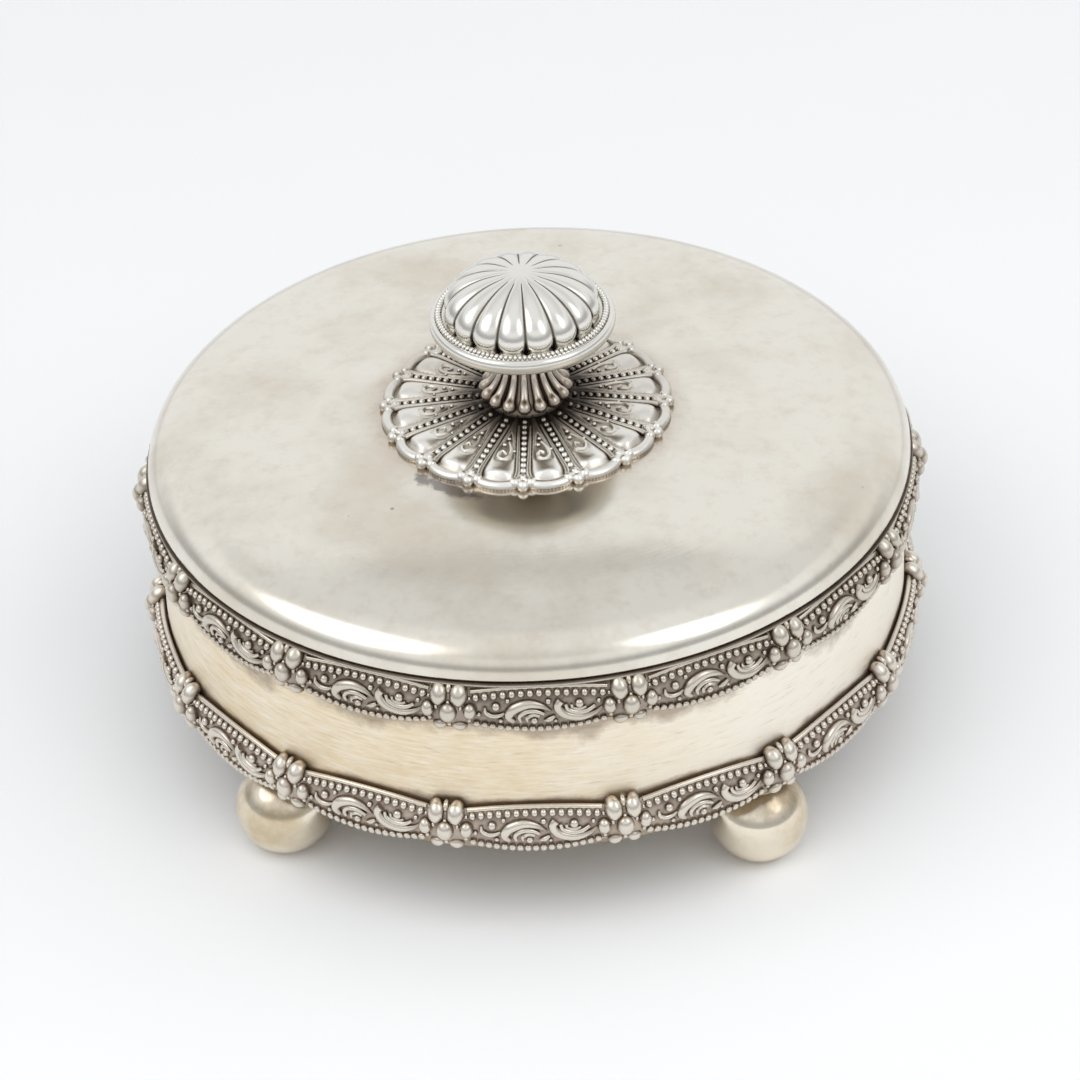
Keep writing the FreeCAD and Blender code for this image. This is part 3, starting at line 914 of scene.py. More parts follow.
# The mouth wire: a dark line under the lid, grime and painted shade where the lid's edge hangs over it.
GRIMED = StampedSilver(
    name="sterling_silver_wire_grimed",
    crevice="#2E2822",
    recess="#5C5147",
    slope="#8F8478",
    crown="#CFC7BA",
)
STEEL = TurnedSteel()
PAPER = MattePaper()


# Feet


@dataclass
class Feet:
    """Four hollow ball feet on short collets."""

    names: tuple[str, ...] = ("front_right", "back_right", "back_left", "front_left")
    first_angle: float = -45.0
    circle: float = 59.7
    ball: float = 8.75
    flat: float = 1.6
    hole: float = 2.15
    collet: float = 4.6
    neck: float = 3.2
    land: float = 0.5
    base_bottom: float = 19.5525

    def middle(self) -> float:
        """Height of the balls' centres."""
        return math.sqrt(self.ball**2 - self.flat**2)

    def ball_pattern(self) -> Object:
        """Turn the ball, with its worn flat below and its hole above.

        Returns:
            The ball, its flat on the origin.
        """
        top = 90.0 - math.degrees(math.asin(self.hole / self.ball))
        low = -90.0 + math.degrees(math.asin(self.flat / self.ball))
        skin = arc((0.0, self.middle()), self.ball, top, low, 44)
        sink = skin[0][1] - 0.8
        return lathe("ball_pattern", [(0.0, sink), (self.hole, sink), *skin, (0.0, 0.0)], 96)

    def collet_pattern(self) -> Object:
        """Turn the collet, hollow below to sit on the ball.

        Returns:
            The collet, on the axis, at its own height.
        """
        seat = self.ball + 0.03
        edge = math.degrees(math.acos(self.collet / seat))
        under = arc((0.0, self.middle()), seat, 90.0, edge, 8)
        low = under[-1][1] + self.land
        foot = bezier(((self.collet, under[-1][1]), (self.collet + 0.12, low - 0.2), (self.collet, low)), 5)
        waist = bezier(
            (
                (self.collet, low),
                (self.neck, low + self.land),
                (self.neck, self.base_bottom),
                (self.collet, self.base_bottom),
            ),
            12,
        )
        return lathe("collet_pattern", [*under, *foot[1:], *waist[1:], (0.0, self.base_bottom)], 64)

    def build(self) -> list[Object]:
        """Make the feet.

        Returns:
            The balls and the collets.
        """
        ball = self.ball_pattern()
        collet = self.collet_pattern()
        made = []
        for index, name in enumerate(self.names):
            turn = math.radians(self.first_angle + 90.0 * index)
            spot = (self.circle * math.cos(turn), self.circle * math.sin(turn), 0.0)
            for pattern, kind in ((ball, "foot_ball_"), (collet, "foot_collet_")):
                piece = placed(pattern, spot)
                piece.name = kind + name + "_silver"
                made.append(dressed(piece, POLISHED, Body.BOX, [kind + name]))
        scrapped(ball, collet)
        return made


# Drum


@dataclass
class Drum:
    """Rolled wall, base plate and mouth wire."""

    upper: "Border"
    lower: "Border"
    wall: float = 66.8
    gauge: float = 0.8
    base_bottom: float = 19.5525
    base_top: float = 20.5525
    rim_bottom: float = 55.7025
    rim_top: float = 56.4525
    mouth: float = 65.0
    wire: float = 68.4
    waver: float = 0.05
    waver_mm: float = 16.0
    low_dirt: Pair = (27.5, 33.5)
    high_dirt: Pair = (42.5, 48.5)
    dirt_over: float = 4.5
    dirt_under: float = 12.5

    def wall_ring(self) -> Object:
        """Turn the wall and give it the slight waver of hand-rolled sheet.

        Returns:
            The wall, its grime and painted shade marked beside the borders.
        """
        inner = self.wall - self.gauge
        spans = (
            (self.base_top, self.low_dirt[0], 3),
            (*self.low_dirt, 16),
            (self.low_dirt[1], self.high_dirt[0], 6),
            (*self.high_dirt, 16),
            (self.high_dirt[1], self.rim_bottom, 3),
        )
        levels = [low + (high - low) * row / rows for low, high, rows in spans for row in range(rows)]
        levels.append(self.rim_bottom)
        profile = [(self.wall, level) for level in levels]
        profile += [(inner, level) for level in reversed(levels)]
        profile.append(profile[0])
        piece = lathe("drum_wall_silver", profile, 240)

        def wavered(spot: Vector) -> Vector:
            """Push a point in or out along its radius."""
            outward = Vector((spot.x, spot.y, 0.0)).normalized()
            return spot + outward * (self.waver * noise.noise(spot / self.waver_mm))

        def cleared(spot: Vector) -> float:
            """Share of clean, unshaded metal: none at a border's edge, all of it some way off and inside;
            the rest is grime and painted shade.

            Args:
                spot: Point of the wall in mm.

            Returns:
                The share.
            """
            if spot.xy.length < self.wall - self.gauge / 2:
                return 1.0
            angle = math.atan2(spot.y, spot.x)
            over = spot.z - self.lower.level - self.lower.top(self.lower.along(angle))
            under = self.upper.level + self.upper.bottom(self.upper.along(angle)) - spot.z
            return min(over / self.dirt_over, under / self.dirt_under)

        return reshaped(marked(piece, cleared), wavered)

    def base_disc(self) -> Object:
        """Turn the base, with a softened edge and a turned ring below.

        Returns:
            The base plate.
        """
        low = self.base_bottom
        soft = bezier(((self.wall - 0.35, low), (self.wall, low), (self.wall, low + 0.35)), 5)
        ring = [(46.0, low), (46.3, low + 0.2), (47.0, low + 0.2), (47.3, low)]
        profile = [(0.0, low), *ring, *soft, (self.wall, self.base_top), (0.0, self.base_top)]
        return marked(lathe("base_plate_silver", profile, 192), lambda spot: 1.0)

    def mouth_ring(self) -> Object:
        """Turn the half-round wire that closes the wall.

        Returns:
            The wire, darkened under the lid with grime and painted shade.
        """
        low, top = self.rim_bottom, self.rim_top
        bulge = (top - low) * 0.66
        shy = self.wire - bulge / 2
        proud = self.wire + bulge / 6
        nose = bezier(((shy, low), (proud, low), (proud, top), (shy, top)), 9)
        profile = [(self.mouth, low), *nose, (self.mouth, top), (self.mouth, low)]
        piece = lathe("mouth_wire_silver", profile, 240)

        def bared(spot: Vector) -> float:
            """Share of bright metal, least at the top of the nose: grime and painted shade under the lid's
            edge.
            """
            return 0.2 + (top - spot.z) / 0.6 if spot.xy.length > self.wall else 0.9

        return marked(piece, bared)

    def build(self) -> list[Object]:
        """Make the drum.

        Returns:
            The wall, the base and the mouth wire.
        """
        return [
            dressed(self.wall_ring(), ROLLED, Body.BOX, ["drum_wall"]),
            dressed(self.base_disc(), UNPOLISHED, Body.BOX, ["base_plate"]),
            dressed(self.mouth_ring(), GRIMED, Body.BOX, ["mouth_wire"]),
        ]


# Borders


@dataclass
class Border:
    """Stamped border: panels of scrolls between clusters of berries.

    A panel is modelled flat, u along the border, v up and w out of it, all in mm from the panel's middle.
    A flush border runs level along its upper edge, under the mouth wire.
    """

    node: str
    level: float
    turn: float
    finish: Finish
    wall: float = 66.83
    panels: int = 14
    girth_radius: float = 69.0
    half_height: float = 4.6
    edge_rise: float = 0.4
    low_edge_rise: float = 1.1
    rise: float = 2.0
    crown_power: float = 2.4
    end_drop: float = 1.0
    end_lift: float = 1.1
    first_angle: float = -45.0
    pearls: int = 15
    squares: int = 17
    mound: float = 0.8
    hump: Pair = (2.6, 1.3)
    sag: Pair = (2.5, 1.0)
    cluster_half: float = 3.3
    top_reach: float = 11.2
    bottom_reach: float = 11.0
    bead_reach: float = 10.9
    flush: bool = False

    def pitch(self) -> float:
        """Length of a panel along the border."""
        return 2 * math.pi * self.girth_radius / self.panels

    def beside(self, u: float) -> float:
        """Distance along the border to the nearest cluster's middle."""
        return self.pitch() / 2 - abs(u)

    def bulge(self, u: float) -> float:
        """Share by which the edges bulge at a cluster: 1 at its middle, 0 beside it."""
        return math.sqrt(max(0.0, 1.0 - (self.beside(u) / self.cluster_half) ** 2))

    def top(self, u: float) -> float:
        """Height of the upper edge, which humps over a cluster."""
        hump = self.hump[0] + self.hump[1] * self.bulge(u)
        return max(self.half_height - self.end_drop * (u / self.top_reach) ** 2, hump)

    def bottom(self, u: float) -> float:
        """Height of the lower edge, which sags under a cluster."""
        sag = self.sag[0] + self.sag[1] * self.bulge(u)
        return -max(self.half_height - self.end_lift * (u / self.bottom_reach) ** 2, sag)

    def along(self, angle: float) -> float:
        """Place along its panel of a point at an angle round the axis, in radians."""
        run = (angle - math.radians(self.first_angle + self.turn)) * self.girth_radius
        return run % self.pitch() - self.pitch() / 2

    def swell(self, u: float) -> float:
        """Rise of the plate below a cluster."""
        return self.mound * math.exp(-((self.beside(u) / 3.0) ** 4))

    def plate(self) -> Object:
        """Shape the plate of one panel, its edges turned back to the wall.

        Returns:
            The plate, flat.
        """
        columns, rows = 64, 22
        pick()
        bpy.ops.mesh.primitive_grid_add(x_subdivisions=columns, y_subdivisions=rows, size=2 * MM)

        def shaped(spot: Vector) -> Vector:
            """Spread the grid between the panel's edges.

            Args:
                spot: Point of the grid, from -1 to 1.

            Returns:
                Its place in mm.
            """
            u = spot.x * self.pitch() / 2
            row = round((spot.y + 1.0) / 2.0 * rows)
            share = min(max((row - 2) / (rows - 4), 0.0), 1.0)
            v = self.bottom(u) + (self.top(u) - self.bottom(u)) * share
            if row == rows and self.flush:
                v = self.half_height + 0.03
            depth = {0: -1.6, 1: -0.25}.get(min(row, rows - row), 0.0)
            return Vector((u, v, depth + self.swell(u)))

        return reshaped(bpy.context.object, shaped)

    def wire(
        self, marks: Sequence[Spot], count: int, sides: int, lift: float, squash: float = 0.9
    ) -> Object:
        """Lay a scroll through (u, v, radius) marks.

        Args:
            marks: Places and radii along the scroll.
            count: Number of points.
            sides: Sides of the scroll's section.
            lift: Height of its middle line, as a share of its radius.
            squash: Share to which the marks are drawn in towards the border's middle line.

        Returns:
            The scroll.
        """
        row = flowing(marks, count)
        radii = [max(mark[2], 0.05) for mark in row]
        thick = max(radii)
        piece = sweep("scroll", [(u, v * squash, lift * thick) for u, v, _ in row], radii, sides, "Z")
        top = (1.0 + lift) * thick
        # Relief rises with height: oxide low down, and painted shade on the scroll's lower flanks.
        return marked(piece, lambda spot: 0.15 + 0.85 * smooth_step(spot.z, 0.0, 0.9 * top))

    def scrolls(self) -> list[Object]:
        """Lay the scrolls and tendrils of one panel.

        Returns:
            The scrolls, the tendrils and the wire along the upper edge.
        """
        arch = (
            (-4.5, -2.3, 0.5),
            (-5.3, -1.0, 0.85),
            (-4.4, 0.75, 1.0),
            (-2.0, 1.75, 0.85),
            (0.3, 1.25, 0.6),
            (1.9, 0.0, 0.2),
        )
        arch_inner = (
            (-3.3, -2.2, 0.3),
            (-3.5, -1.0, 0.45),
            (-2.5, 0.1, 0.5),
            (-0.8, 0.25, 0.45),
            (0.7, -0.55, 0.3),
        )
        arch_curl = ((-2.2, -2.3, 0.25), (-2.2, -1.4, 0.34), (-1.2, -0.75, 0.36), (-0.1, -1.05, 0.28))
        cup = (
            (3.6, 2.1, 0.8),
            (3.0, 0.9, 0.8),
            (4.3, -0.95, 0.9),
            (7.0, -1.85, 0.8),
            (9.4, -1.2, 0.5),
            (10.7, -0.1, 0.2),
        )
        cup_inner = (
            (4.4, 1.4, 0.3),
            (4.75, 0.2, 0.45),
            (6.2, -0.6, 0.5),
            (8.0, -0.5, 0.45),
            (9.4, 0.5, 0.3),
        )
        cup_curl = ((5.4, 1.2, 0.22), (5.6, 0.35, 0.32), (6.8, -0.05, 0.34), (7.9, 0.4, 0.26))
        crescent = (
            (-9.3, 1.0, 0.22),
            (-9.2, -0.1, 0.42),
            (-8.2, -0.9, 0.5),
            (-6.9, -0.8, 0.42),
            (-6.0, -0.2, 0.22),
        )
        leaf = ((0.7, -2.2, 0.2), (1.6, -1.9, 0.5), (2.5, -1.2, 0.25))
        reach = 11.8
        edge = [(u * reach, self.top(u * reach) - 0.3, 0.38) for u in (-1.0, -0.6, -0.2, 0.2, 0.6, 1.0)]
        return [
            self.wire(arch, 20, 10, 0.1),
            self.wire(cup, 20, 10, 0.1),
            self.wire(arch_inner, 14, 8, 0.5),
            self.wire(cup_inner, 14, 8, 0.5),
            self.wire(arch_curl, 10, 6, 0.5),
            self.wire(cup_curl, 10, 6, 0.5),
            self.wire(crescent, 12, 8, 0.3),
            self.wire(leaf, 8, 8, 0.4),
            self.wire(edge, 25, 8, 0.1, 1.0),
        ]

    def beads(self) -> list[Object]:
        """Set the pearls above, the square beads below and the buttons among the scrolls of one panel.

        Returns:
            The beads.
        """
        pearl = button("pearl", 10, 8, 0.25)
        square = pillow("square_bead")
        large = button("button", 16, 10, 0.25)
        made = []
        for index in range(self.pearls):
            u = self.bead_reach * (2.0 * index / (self.pearls - 1) - 1.0)
            made.append(placed(pearl, (u, self.top(u) - 1.25, 0.05), (0.68, 0.66, 0.72)))
        for index in range(self.squares):
            u = self.bead_reach * (2.0 * index / (self.squares - 1) - 1.0)
            slope = math.degrees(math.atan2(self.bottom(u + 0.1) - self.bottom(u - 0.1), 0.2))
            made.append(placed(square, (u, self.bottom(u) + 0.68, 0.1), (0.57, 0.62, 0.62), slope))
        buttons = ((-7.4, 1.1, 0.78), (-1.0, -1.9, 0.66), (6.75, 1.15, 0.82))
        dots = (
            (-5.4, 2.1, 0.45),
            (-6.7, -1.9, 0.45),
            (1.5, 1.9, 0.55),
            (10.1, 1.2, 0.45),
            (-10.4, -0.6, 0.45),
            (2.6, -2.2, 0.35),
        )
        made += [placed(large, (u, v, 0.1), (r, r, r)) for u, v, r in buttons]
        made += [placed(pearl, (u, v, 0.1), (r, r, r)) for u, v, r in dots]
        scrapped(pearl, square, large)
        return made

    def drop(self) -> Object:
        """Shape a drop: round below, narrower above.

        Returns:
            The drop, on the origin.
        """
        piece = button("drop", 16, 12, 0.3)

        def narrowed(spot: Vector) -> Vector:
            """Draw the upper part in."""
            return Vector((spot.x * (1.0 - 0.1 * smooth_step(spot.y, -0.3, 1.0)), spot.y, spot.z))

        return reshaped(piece, narrowed)

    def cluster(self) -> list[Object]:
        """Set the berries of the cluster at the panel's right end.

        Returns:
            The berries, the drops and the seeds.
        """
        middle = self.pitch() / 2
        berry = button("berry", 16, 12, 0.3)
        drop = self.drop()
        seed = button("seed", 10, 8, 0.25)
        low = self.mound * 0.75
        made = [
            placed(berry, (middle, 0.0, 1.0), (1.55, 1.7, 1.45)),
            placed(seed, (middle, 3.7, low), (0.6, 0.9, 0.9)),
            placed(seed, (middle, 1.6, low + 0.2), (0.42, 0.42, 0.5)),
            placed(seed, (middle, -2.55, low + 0.1), (0.45, 0.45, 0.5)),
        ]
        for side in (-1.0, 1.0):
            made += [
                placed(drop, (middle + side * 1.75, 2.75, low), (1.62, 1.8, 1.4), side * -6.0),
                placed(berry, (middle + side * 3.6, 0.15, 0.35), (1.22, 1.45, 1.35)),
                placed(berry, (middle + side * 1.7, -3.0, low - 0.1), (1.35, 0.98, 1.05), side * -14.0),
                placed(seed, (middle + side * 2.05, 0.75, low), (0.42, 0.42, 0.5)),
                placed(seed, (middle + side * 3.4, -1.9, 0.2), (0.45, 0.45, 0.55)),
                placed(seed, (middle + side * 3.5, 2.2, 0.1), (0.4, 0.4, 0.55)),
            ]
        scrapped(berry, drop, seed)
        return made

    def wrapped(self, spot: Vector) -> Vector:
        """Bend a point of the flat border round the wall.

        Args:
            spot: Point of the row of panels in mm.

        Returns:
            Its place in mm.
        """
        u, v, w = spot
        along = (u + self.pitch() / 2) % self.pitch() - self.pitch() / 2
        reach = 0.15 + (self.top(along) if v > 0.0 else -self.bottom(along))
        share = min(abs(v) / reach, 1.15)
        crown = self.rise - (self.edge_rise if v > 0.0 else self.low_edge_rise)
        rise = self.rise - crown * share**self.crown_power
        tilt = crown * self.crown_power * share ** (self.crown_power - 1.0) / reach
        tilt = math.copysign(min(tilt, 0.75), v)
        steep = math.hypot(1.0, tilt)
        radius = max(self.wall + rise + w / steep, self.wall)
        angle = math.radians(self.first_angle + self.turn) + (u + self.pitch() / 2) / self.girth_radius
        height = self.level + v + w * tilt / steep
        return Vector((radius * math.cos(angle), radius * math.sin(angle), height))

    def build(self) -> list[Object]:
        """Make the border.

        Returns:
            The ring of panels and clusters.
        """
        plate = self.plate()
        raised = [*self.scrolls(), *self.beads(), *self.cluster()]

        def bare(spot: Vector) -> float:
            """Relief of the open plate, higher along its turned-back edges."""
            return 0.45 if spot.z - self.swell(spot.x) > -0.2 else 0.65

        soiled(plate, raised, 0.9, bare)
        panel = joined(self.node + "_silver", [plate, *raised])
        pick(panel)
        row = panel.modifiers.new("row", "ARRAY")
        row.count = self.panels
        row.use_relative_offset = False
        row.use_constant_offset = True
        row.constant_offset_displace = (self.pitch() * MM, 0.0, 0.0)
        bpy.ops.object.modifier_apply(modifier=row.name)
        reshaped(panel, self.wrapped)
        clean_up(panel, 2e-6)
        return [dressed(panel, self.finish, Body.BOX, [self.node], 50.0)]


# Lid


@dataclass
class Lid:
    """Low spun dome with a rolled edge, and the flange below it."""

    radius: float = 68.0
    gauge: float = 0.8
    rim_top: float = 56.4525
    crown: float = 66.4525
    dome: float = 563.0
    roll: float = 7.0
    lip: float = 1.6
    lip_round: float = 0.5
    hole: float = 1.9
    flange: float = 64.7
    flange_gauge: float = 0.8
    flange_depth: float = 5.2
    dent: float = 0.05
    dent_mm: float = 26.0

    def dome_z(self, radius: float) -> float:
        """Height of the lid's outside at a radius."""
        return self.crown - self.dome + math.sqrt(self.dome**2 - radius**2)

    def outside(self) -> list[Pair]:
        """Section of the outside, from the stud's hole to the lip.

        Returns:
            The section's points.
        """
        shoulder = self.radius - self.roll
        edge = self.rim_top + self.lip_round
        skin = [(self.hole + (shoulder - self.hole) * i / 40, 0.0) for i in range(41)]
        skin = [(r, self.dome_z(r)) for r, _ in skin]
        slope = shoulder / self.dome
        fall = skin[-1][1] - edge
        bend = bezier(
            (
                skin[-1],
                (shoulder + self.roll * 0.55, skin[-1][1] - slope * self.roll * 0.55),
                (self.radius, edge + fall * 0.55),
                (self.radius, edge),
            ),
            24,
        )
        corner = (self.radius, self.rim_top)
        lip = bezier(((self.radius, edge), corner, (self.radius - self.lip_round, self.rim_top)), 5)
        return [*skin, *bend[1:], *lip[1:]]

    def inside(self) -> list[Pair]:
        """Section of the inside, from the lip back to the stud's hole.

        Returns:
            The section's points.
        """
        inner = self.radius - self.gauge
        shoulder = self.radius - self.roll - self.gauge / 2
        edge = self.rim_top + self.lip_round
        top = self.dome_z(shoulder) - self.gauge
        bend = bezier(
            (
                (inner, edge + self.lip_round),
                (inner, edge + (top - edge) * 0.55),
                (shoulder + (inner - shoulder) * 0.55, top + 0.1),
                (shoulder, top),
            ),
            14,
        )
        under = [(shoulder + (self.hole - shoulder) * i / 24, 0.0) for i in range(1, 25)]
        under = [(r, self.dome_z(r) - self.gauge) for r, _ in under]
        lip = self.radius - self.lip
        return [(lip, self.rim_top), (lip, edge), *bend, *under]

    def cover(self) -> Object:
        """Turn the cover and give it the faint dents of long use.

        Returns:
            The cover.
        """
        profile = [*self.outside(), *self.inside()]
        piece = lathe("lid_cover_silver", [*profile, profile[0]], 288)

        def dented(spot: Vector) -> Vector:
            """Sink or raise a point a little, less at the rosette and at the edge.

            Args:
                spot: Point of the cover in mm.

            Returns:
                Its new place in mm.
            """
            reach = math.hypot(spot.x, spot.y)
            share = smooth_step(reach, 26.0, 34.0) * (1.0 - smooth_step(reach, 63.0, 67.0))
            return spot + Vector((0.0, 0.0, self.dent * share * noise.noise(spot / self.dent_mm)))

        return reshaped(piece, dented)

    def ring(self) -> Object:
        """Turn the flange, its lower edge rounded.

        Returns:
            The flange.
        """
        low = self.rim_top - self.flange_depth
        inner = self.flange - self.flange_gauge
        top = self.rim_top + 5.05
        nose = arc((self.flange - self.flange_gauge / 2, low + 0.4), self.flange_gauge / 2, 0.0, -180.0, 9)
        profile = [(self.flange, top), *nose, (inner, top), (self.flange, top)]
        return lathe("lid_flange_silver", profile, 240)

    def build(self) -> list[Object]:
        """Make the lid.

        Returns:
            The cover and its flange.
        """
        return [
            dressed(self.cover(), SPUN, Body.LID, ["lid_cover"]),
            dressed(self.ring(), SPUN, Body.LID, ["lid_flange"]),
        ]


# Rosette


@dataclass
class Rosette:
    """Struck plate of sixteen spoon-shaped petals with beaded rays between them.

    A petal is modelled flat along +X, then lifted onto the lid and copied round the axis.
    """

    petals: int = 16
    turn: float = -8.25
    radius: float = 26.0
    notch: float = 2.7
    inner: float = 6.6
    lid_crown: float = 66.4525
    dome: float = 563.0
    edge_rise: float = 0.4
    rise: float = 1.5
    rim: float = 0.95

    def half(self) -> float:
        """Half the angle of a petal, in radians."""
        return math.pi / self.petals

    def hill(self, reach: float) -> float:
        """Height of the plate at a distance from the axis."""
        share = min(max((self.radius - reach) / 18.0, 0.0), 1.2)
        return self.lid_crown - reach**2 / (2 * self.dome) + self.edge_rise + self.rise * share**1.2

    def outline(self, share: float) -> float:
        """Reach of the scalloped edge at a share of the half petal, from -1 to 1."""
        return self.radius - self.notch * (1.0 - math.sqrt(max(1.0 - (share * 0.98) ** 2, 0.0)))

    def spoon(self, reach: float) -> float:
        """Half width of the raised spoon at a distance from the axis."""
        end = 1.0 - (max(reach - 21.0, 0.0) / 2.9) ** 2
        return (0.75 + 0.2 * (reach - 10.0)) * math.sqrt(max(end, 0.0))

    def pocket(self, reach: float) -> float:
        """Half width of the sunk drop inside the spoon.

        Args:
            reach: Distance from the axis in mm.

        Returns:
            The half width in mm.
        """
        if reach < 18.0:
            return 1.95 * max((reach - 11.6) / 6.4, 0.0) ** 0.8
        return 1.95 * math.sqrt(max(1.0 - ((reach - 18.0) / 2.1) ** 2, 0.0))

    def relief(self, reach: float, across: float) -> float:
        """Height of the petal over the plate: a spoon with a sunk drop and a round boss at its end.

        Args:
            reach: Distance from the axis in mm.
            across: Distance from the petal's middle line in mm.

        Returns:
            The height in mm.
        """
        wide = self.spoon(reach)
        if abs(across) >= wide:
            return 0.0
        shoulder = 1.0 - (abs(across) / wide) ** 4
        boss = 0.35 * math.exp(-(((reach - 21.8) / 1.5) ** 2) - (across / 1.9) ** 2)
        end = smooth_step(23.9 - reach, 0.0, 1.3)
        body = (0.45 + 0.5 * smooth_step(reach, 9.0, 20.0) + boss) * shoulder * end
        hollow = self.pocket(reach)
        if abs(across) < hollow:
            body -= 0.4 * (1.0 - (abs(across) / hollow) ** 4) * smooth_step(20.1 - reach, 0.0, 1.6)
        return body

    def plate(self) -> Object:
        """Shape the plate of one petal with its spoon, the scalloped edge turned down to the lid.

        Returns:
            The plate, flat.
        """
        columns, rows = 36, 72
        pick()
        bpy.ops.mesh.primitive_grid_add(x_subdivisions=rows, y_subdivisions=columns, size=2 * MM)

        def shaped(spot: Vector) -> Vector:
            """Spread the grid over the petal's sector.

            Args:
                spot: Point of the grid, from -1 to 1.

            Returns:
                Its place in mm.
            """
            angle = spot.y * self.half()
            row = round((spot.x + 1.0) / 2.0 * rows)
            share = min(row / (rows - 2), 1.0)
            reach = self.inner + (self.outline(spot.y) - self.inner) * share
            depth = {rows: -1.3, rows - 1: -0.2}.get(row, self.relief(reach, reach * math.sin(angle)))
            return Vector((reach * math.cos(angle), reach * math.sin(angle), depth))

        return reshaped(bpy.context.object, shaped)

    def rims(self) -> list[Object]:
        """Lay the thick scalloped rim and the thin lips that run in from it on both sides of the petal.

        Returns:
            The rim and the lips.
        """
        rim = []
        for index in range(23):
            share = -1.0 + index / 11.0
            reach = self.outline(share) - self.rim
            turn = share * self.half() * 0.98
            rim.append((reach * math.cos(turn), reach * math.sin(turn), 0.0))
        lip = ((9.6, 0.9, 0.2), (14.0, 1.75, 0.3), (18.5, 2.7, 0.4), (21.6, 3.3, 0.5), (23.2, 3.3, 0.55))
        row = flowing(lip, 16)
        made = [sweep("rim", rim, [self.rim] * len(rim), 12, "Z")]
        marked(made[0], lambda spot: 0.8 + 0.2 * spot.z / self.rim)

        def bared(spot: Vector) -> float:
            """Share of bright metal on a lip, least near the axis."""
            return 0.05 + 0.75 * smooth_step(spot.z, 0.1, 0.8) * smooth_step(spot.x, 7.0, 16.0)

        for side in (-1.0, 1.0):
            path = [(x, y * side, 0.3) for x, y, _ in row]
            made.append(marked(sweep("lip", path, [mark[2] for mark in row], 8, "Z"), bared))
        return made

    def inlay(self) -> list[Object]:
        """Lay the curl and the dots in the spoon's hollow.

        Returns:
            The curl and the dots.
        """
        curl = (
            (14.2, 0.25, 0.24),
            (15.8, 0.95, 0.34),
            (17.6, 1.05, 0.38),
            (18.8, 0.1, 0.4),
            (18.0, -0.95, 0.38),
            (16.6, -0.55, 0.32),
            (17.1, 0.25, 0.28),
        )
        row = flowing(curl, 22)
        path = [(x, y, 0.5) for x, y, _ in row]
        scroll = sweep("curl", path, [mark[2] for mark in row], 6, "Z")
        made = [marked(scroll, lambda spot: 0.3 + 0.65 * smooth_step(spot.z, 0.3, 0.9))]
        pearl = button("pearl", 10, 8, 0.3)
        dots = (
            (13.4, 0.0, 0.34),
            (15.0, -0.45, 0.4),
            (19.3, 1.1, 0.36),
            (19.3, -1.0, 0.36),
            (16.4, 1.6, 0.3),
        )
        made += [placed(pearl, (x, y, 0.5), (r, r, r)) for x, y, r in dots]
        scrapped(pearl)
        return made

    def beads(self) -> list[Object]:
        """Set the beaded ray and the bud between one petal and the next.

        Returns:
            The beads and the buds.
        """
        pearl = button("pearl", 10, 8, 0.3)
        made = []
        turn = self.half()
        count = 11
        for index in range(count):
            reach = 8.6 + 14.2 * index / (count - 1)
            size = 0.5 + 0.18 * index / (count - 1)
            spot = (reach * math.cos(turn), reach * math.sin(turn), 0.2)
            bead = placed(pearl, spot, (size, size, size * 1.1))
            made.append(dimmed(bead, 0.3 + 0.7 * smooth_step(reach, 9.0, 18.0)))
        bud = marked(button("bud", 14, 10, 0.95), lambda spot: 0.8 + 0.2 * spot.z)
        buds = ((25.2, 0.0, 1.05), (24.4, 1.5, 0.95), (24.4, -1.5, 0.95), (23.3, 0.0, 0.75))
        for out, across, size in buds:
            x = out * math.cos(turn) - across * math.sin(turn)
            y = out * math.sin(turn) + across * math.cos(turn)
            made.append(placed(bud, (x, y, 0.35), (size, size, size)))
        scrapped(pearl, bud)
        return made

    def bared(self, spot: Vector) -> float:
        """Share of bright metal on the plate: high on the spoons, black between them near the axis.

        Args:
            spot: Point of the flat plate in mm.

        Returns:
            The share.
        """
        if spot.z < -0.1:
            return 0.9
        open_plate = 0.08 + 0.5 * smooth_step(spot.xy.length, 9.5, 19.0)
        bare = open_plate + (1.0 - open_plate) * smooth_step(spot.z, 0.1, 1.0)
        return bare * (0.25 + 0.75 * smooth_step(spot.xy.length, 9.0, 15.0))

    def lifted(self, spot: Vector) -> Vector:
        """Raise a flat point onto the rosette's hill."""
        return Vector((spot.x, spot.y, spot.z + self.hill(math.hypot(spot.x, spot.y))))

    def build(self) -> list[Object]:
        """Make the rosette.

        Returns:
            The whole plate.
        """
        plate = self.plate()
        raised = [*self.rims(), *self.beads()]
        soiled(plate, raised, 0.5, self.bared)
        petal = reshaped(joined("petal", [plate, *raised, *self.inlay()]), self.lifted)
        step = 360.0 / self.petals
        ring = []
        for index in range(self.petals):
            turn = self.turn + step * index
            # Petals towards the back keep less relief and come out darker: painted shade.
            front = 0.5 - 0.5 * math.sin(math.radians(turn))
            ring.append(dimmed(placed(petal, (0.0, 0.0, 0.0), turn=turn), 0.62 + 0.38 * front**2))
        scrapped(petal)
        whole = clean_up(joined("rosette_silver", ring), 2e-6)
        return [dressed(whole, BLACKENED, Body.LID, ["rosette"], 50.0)]


# Knob


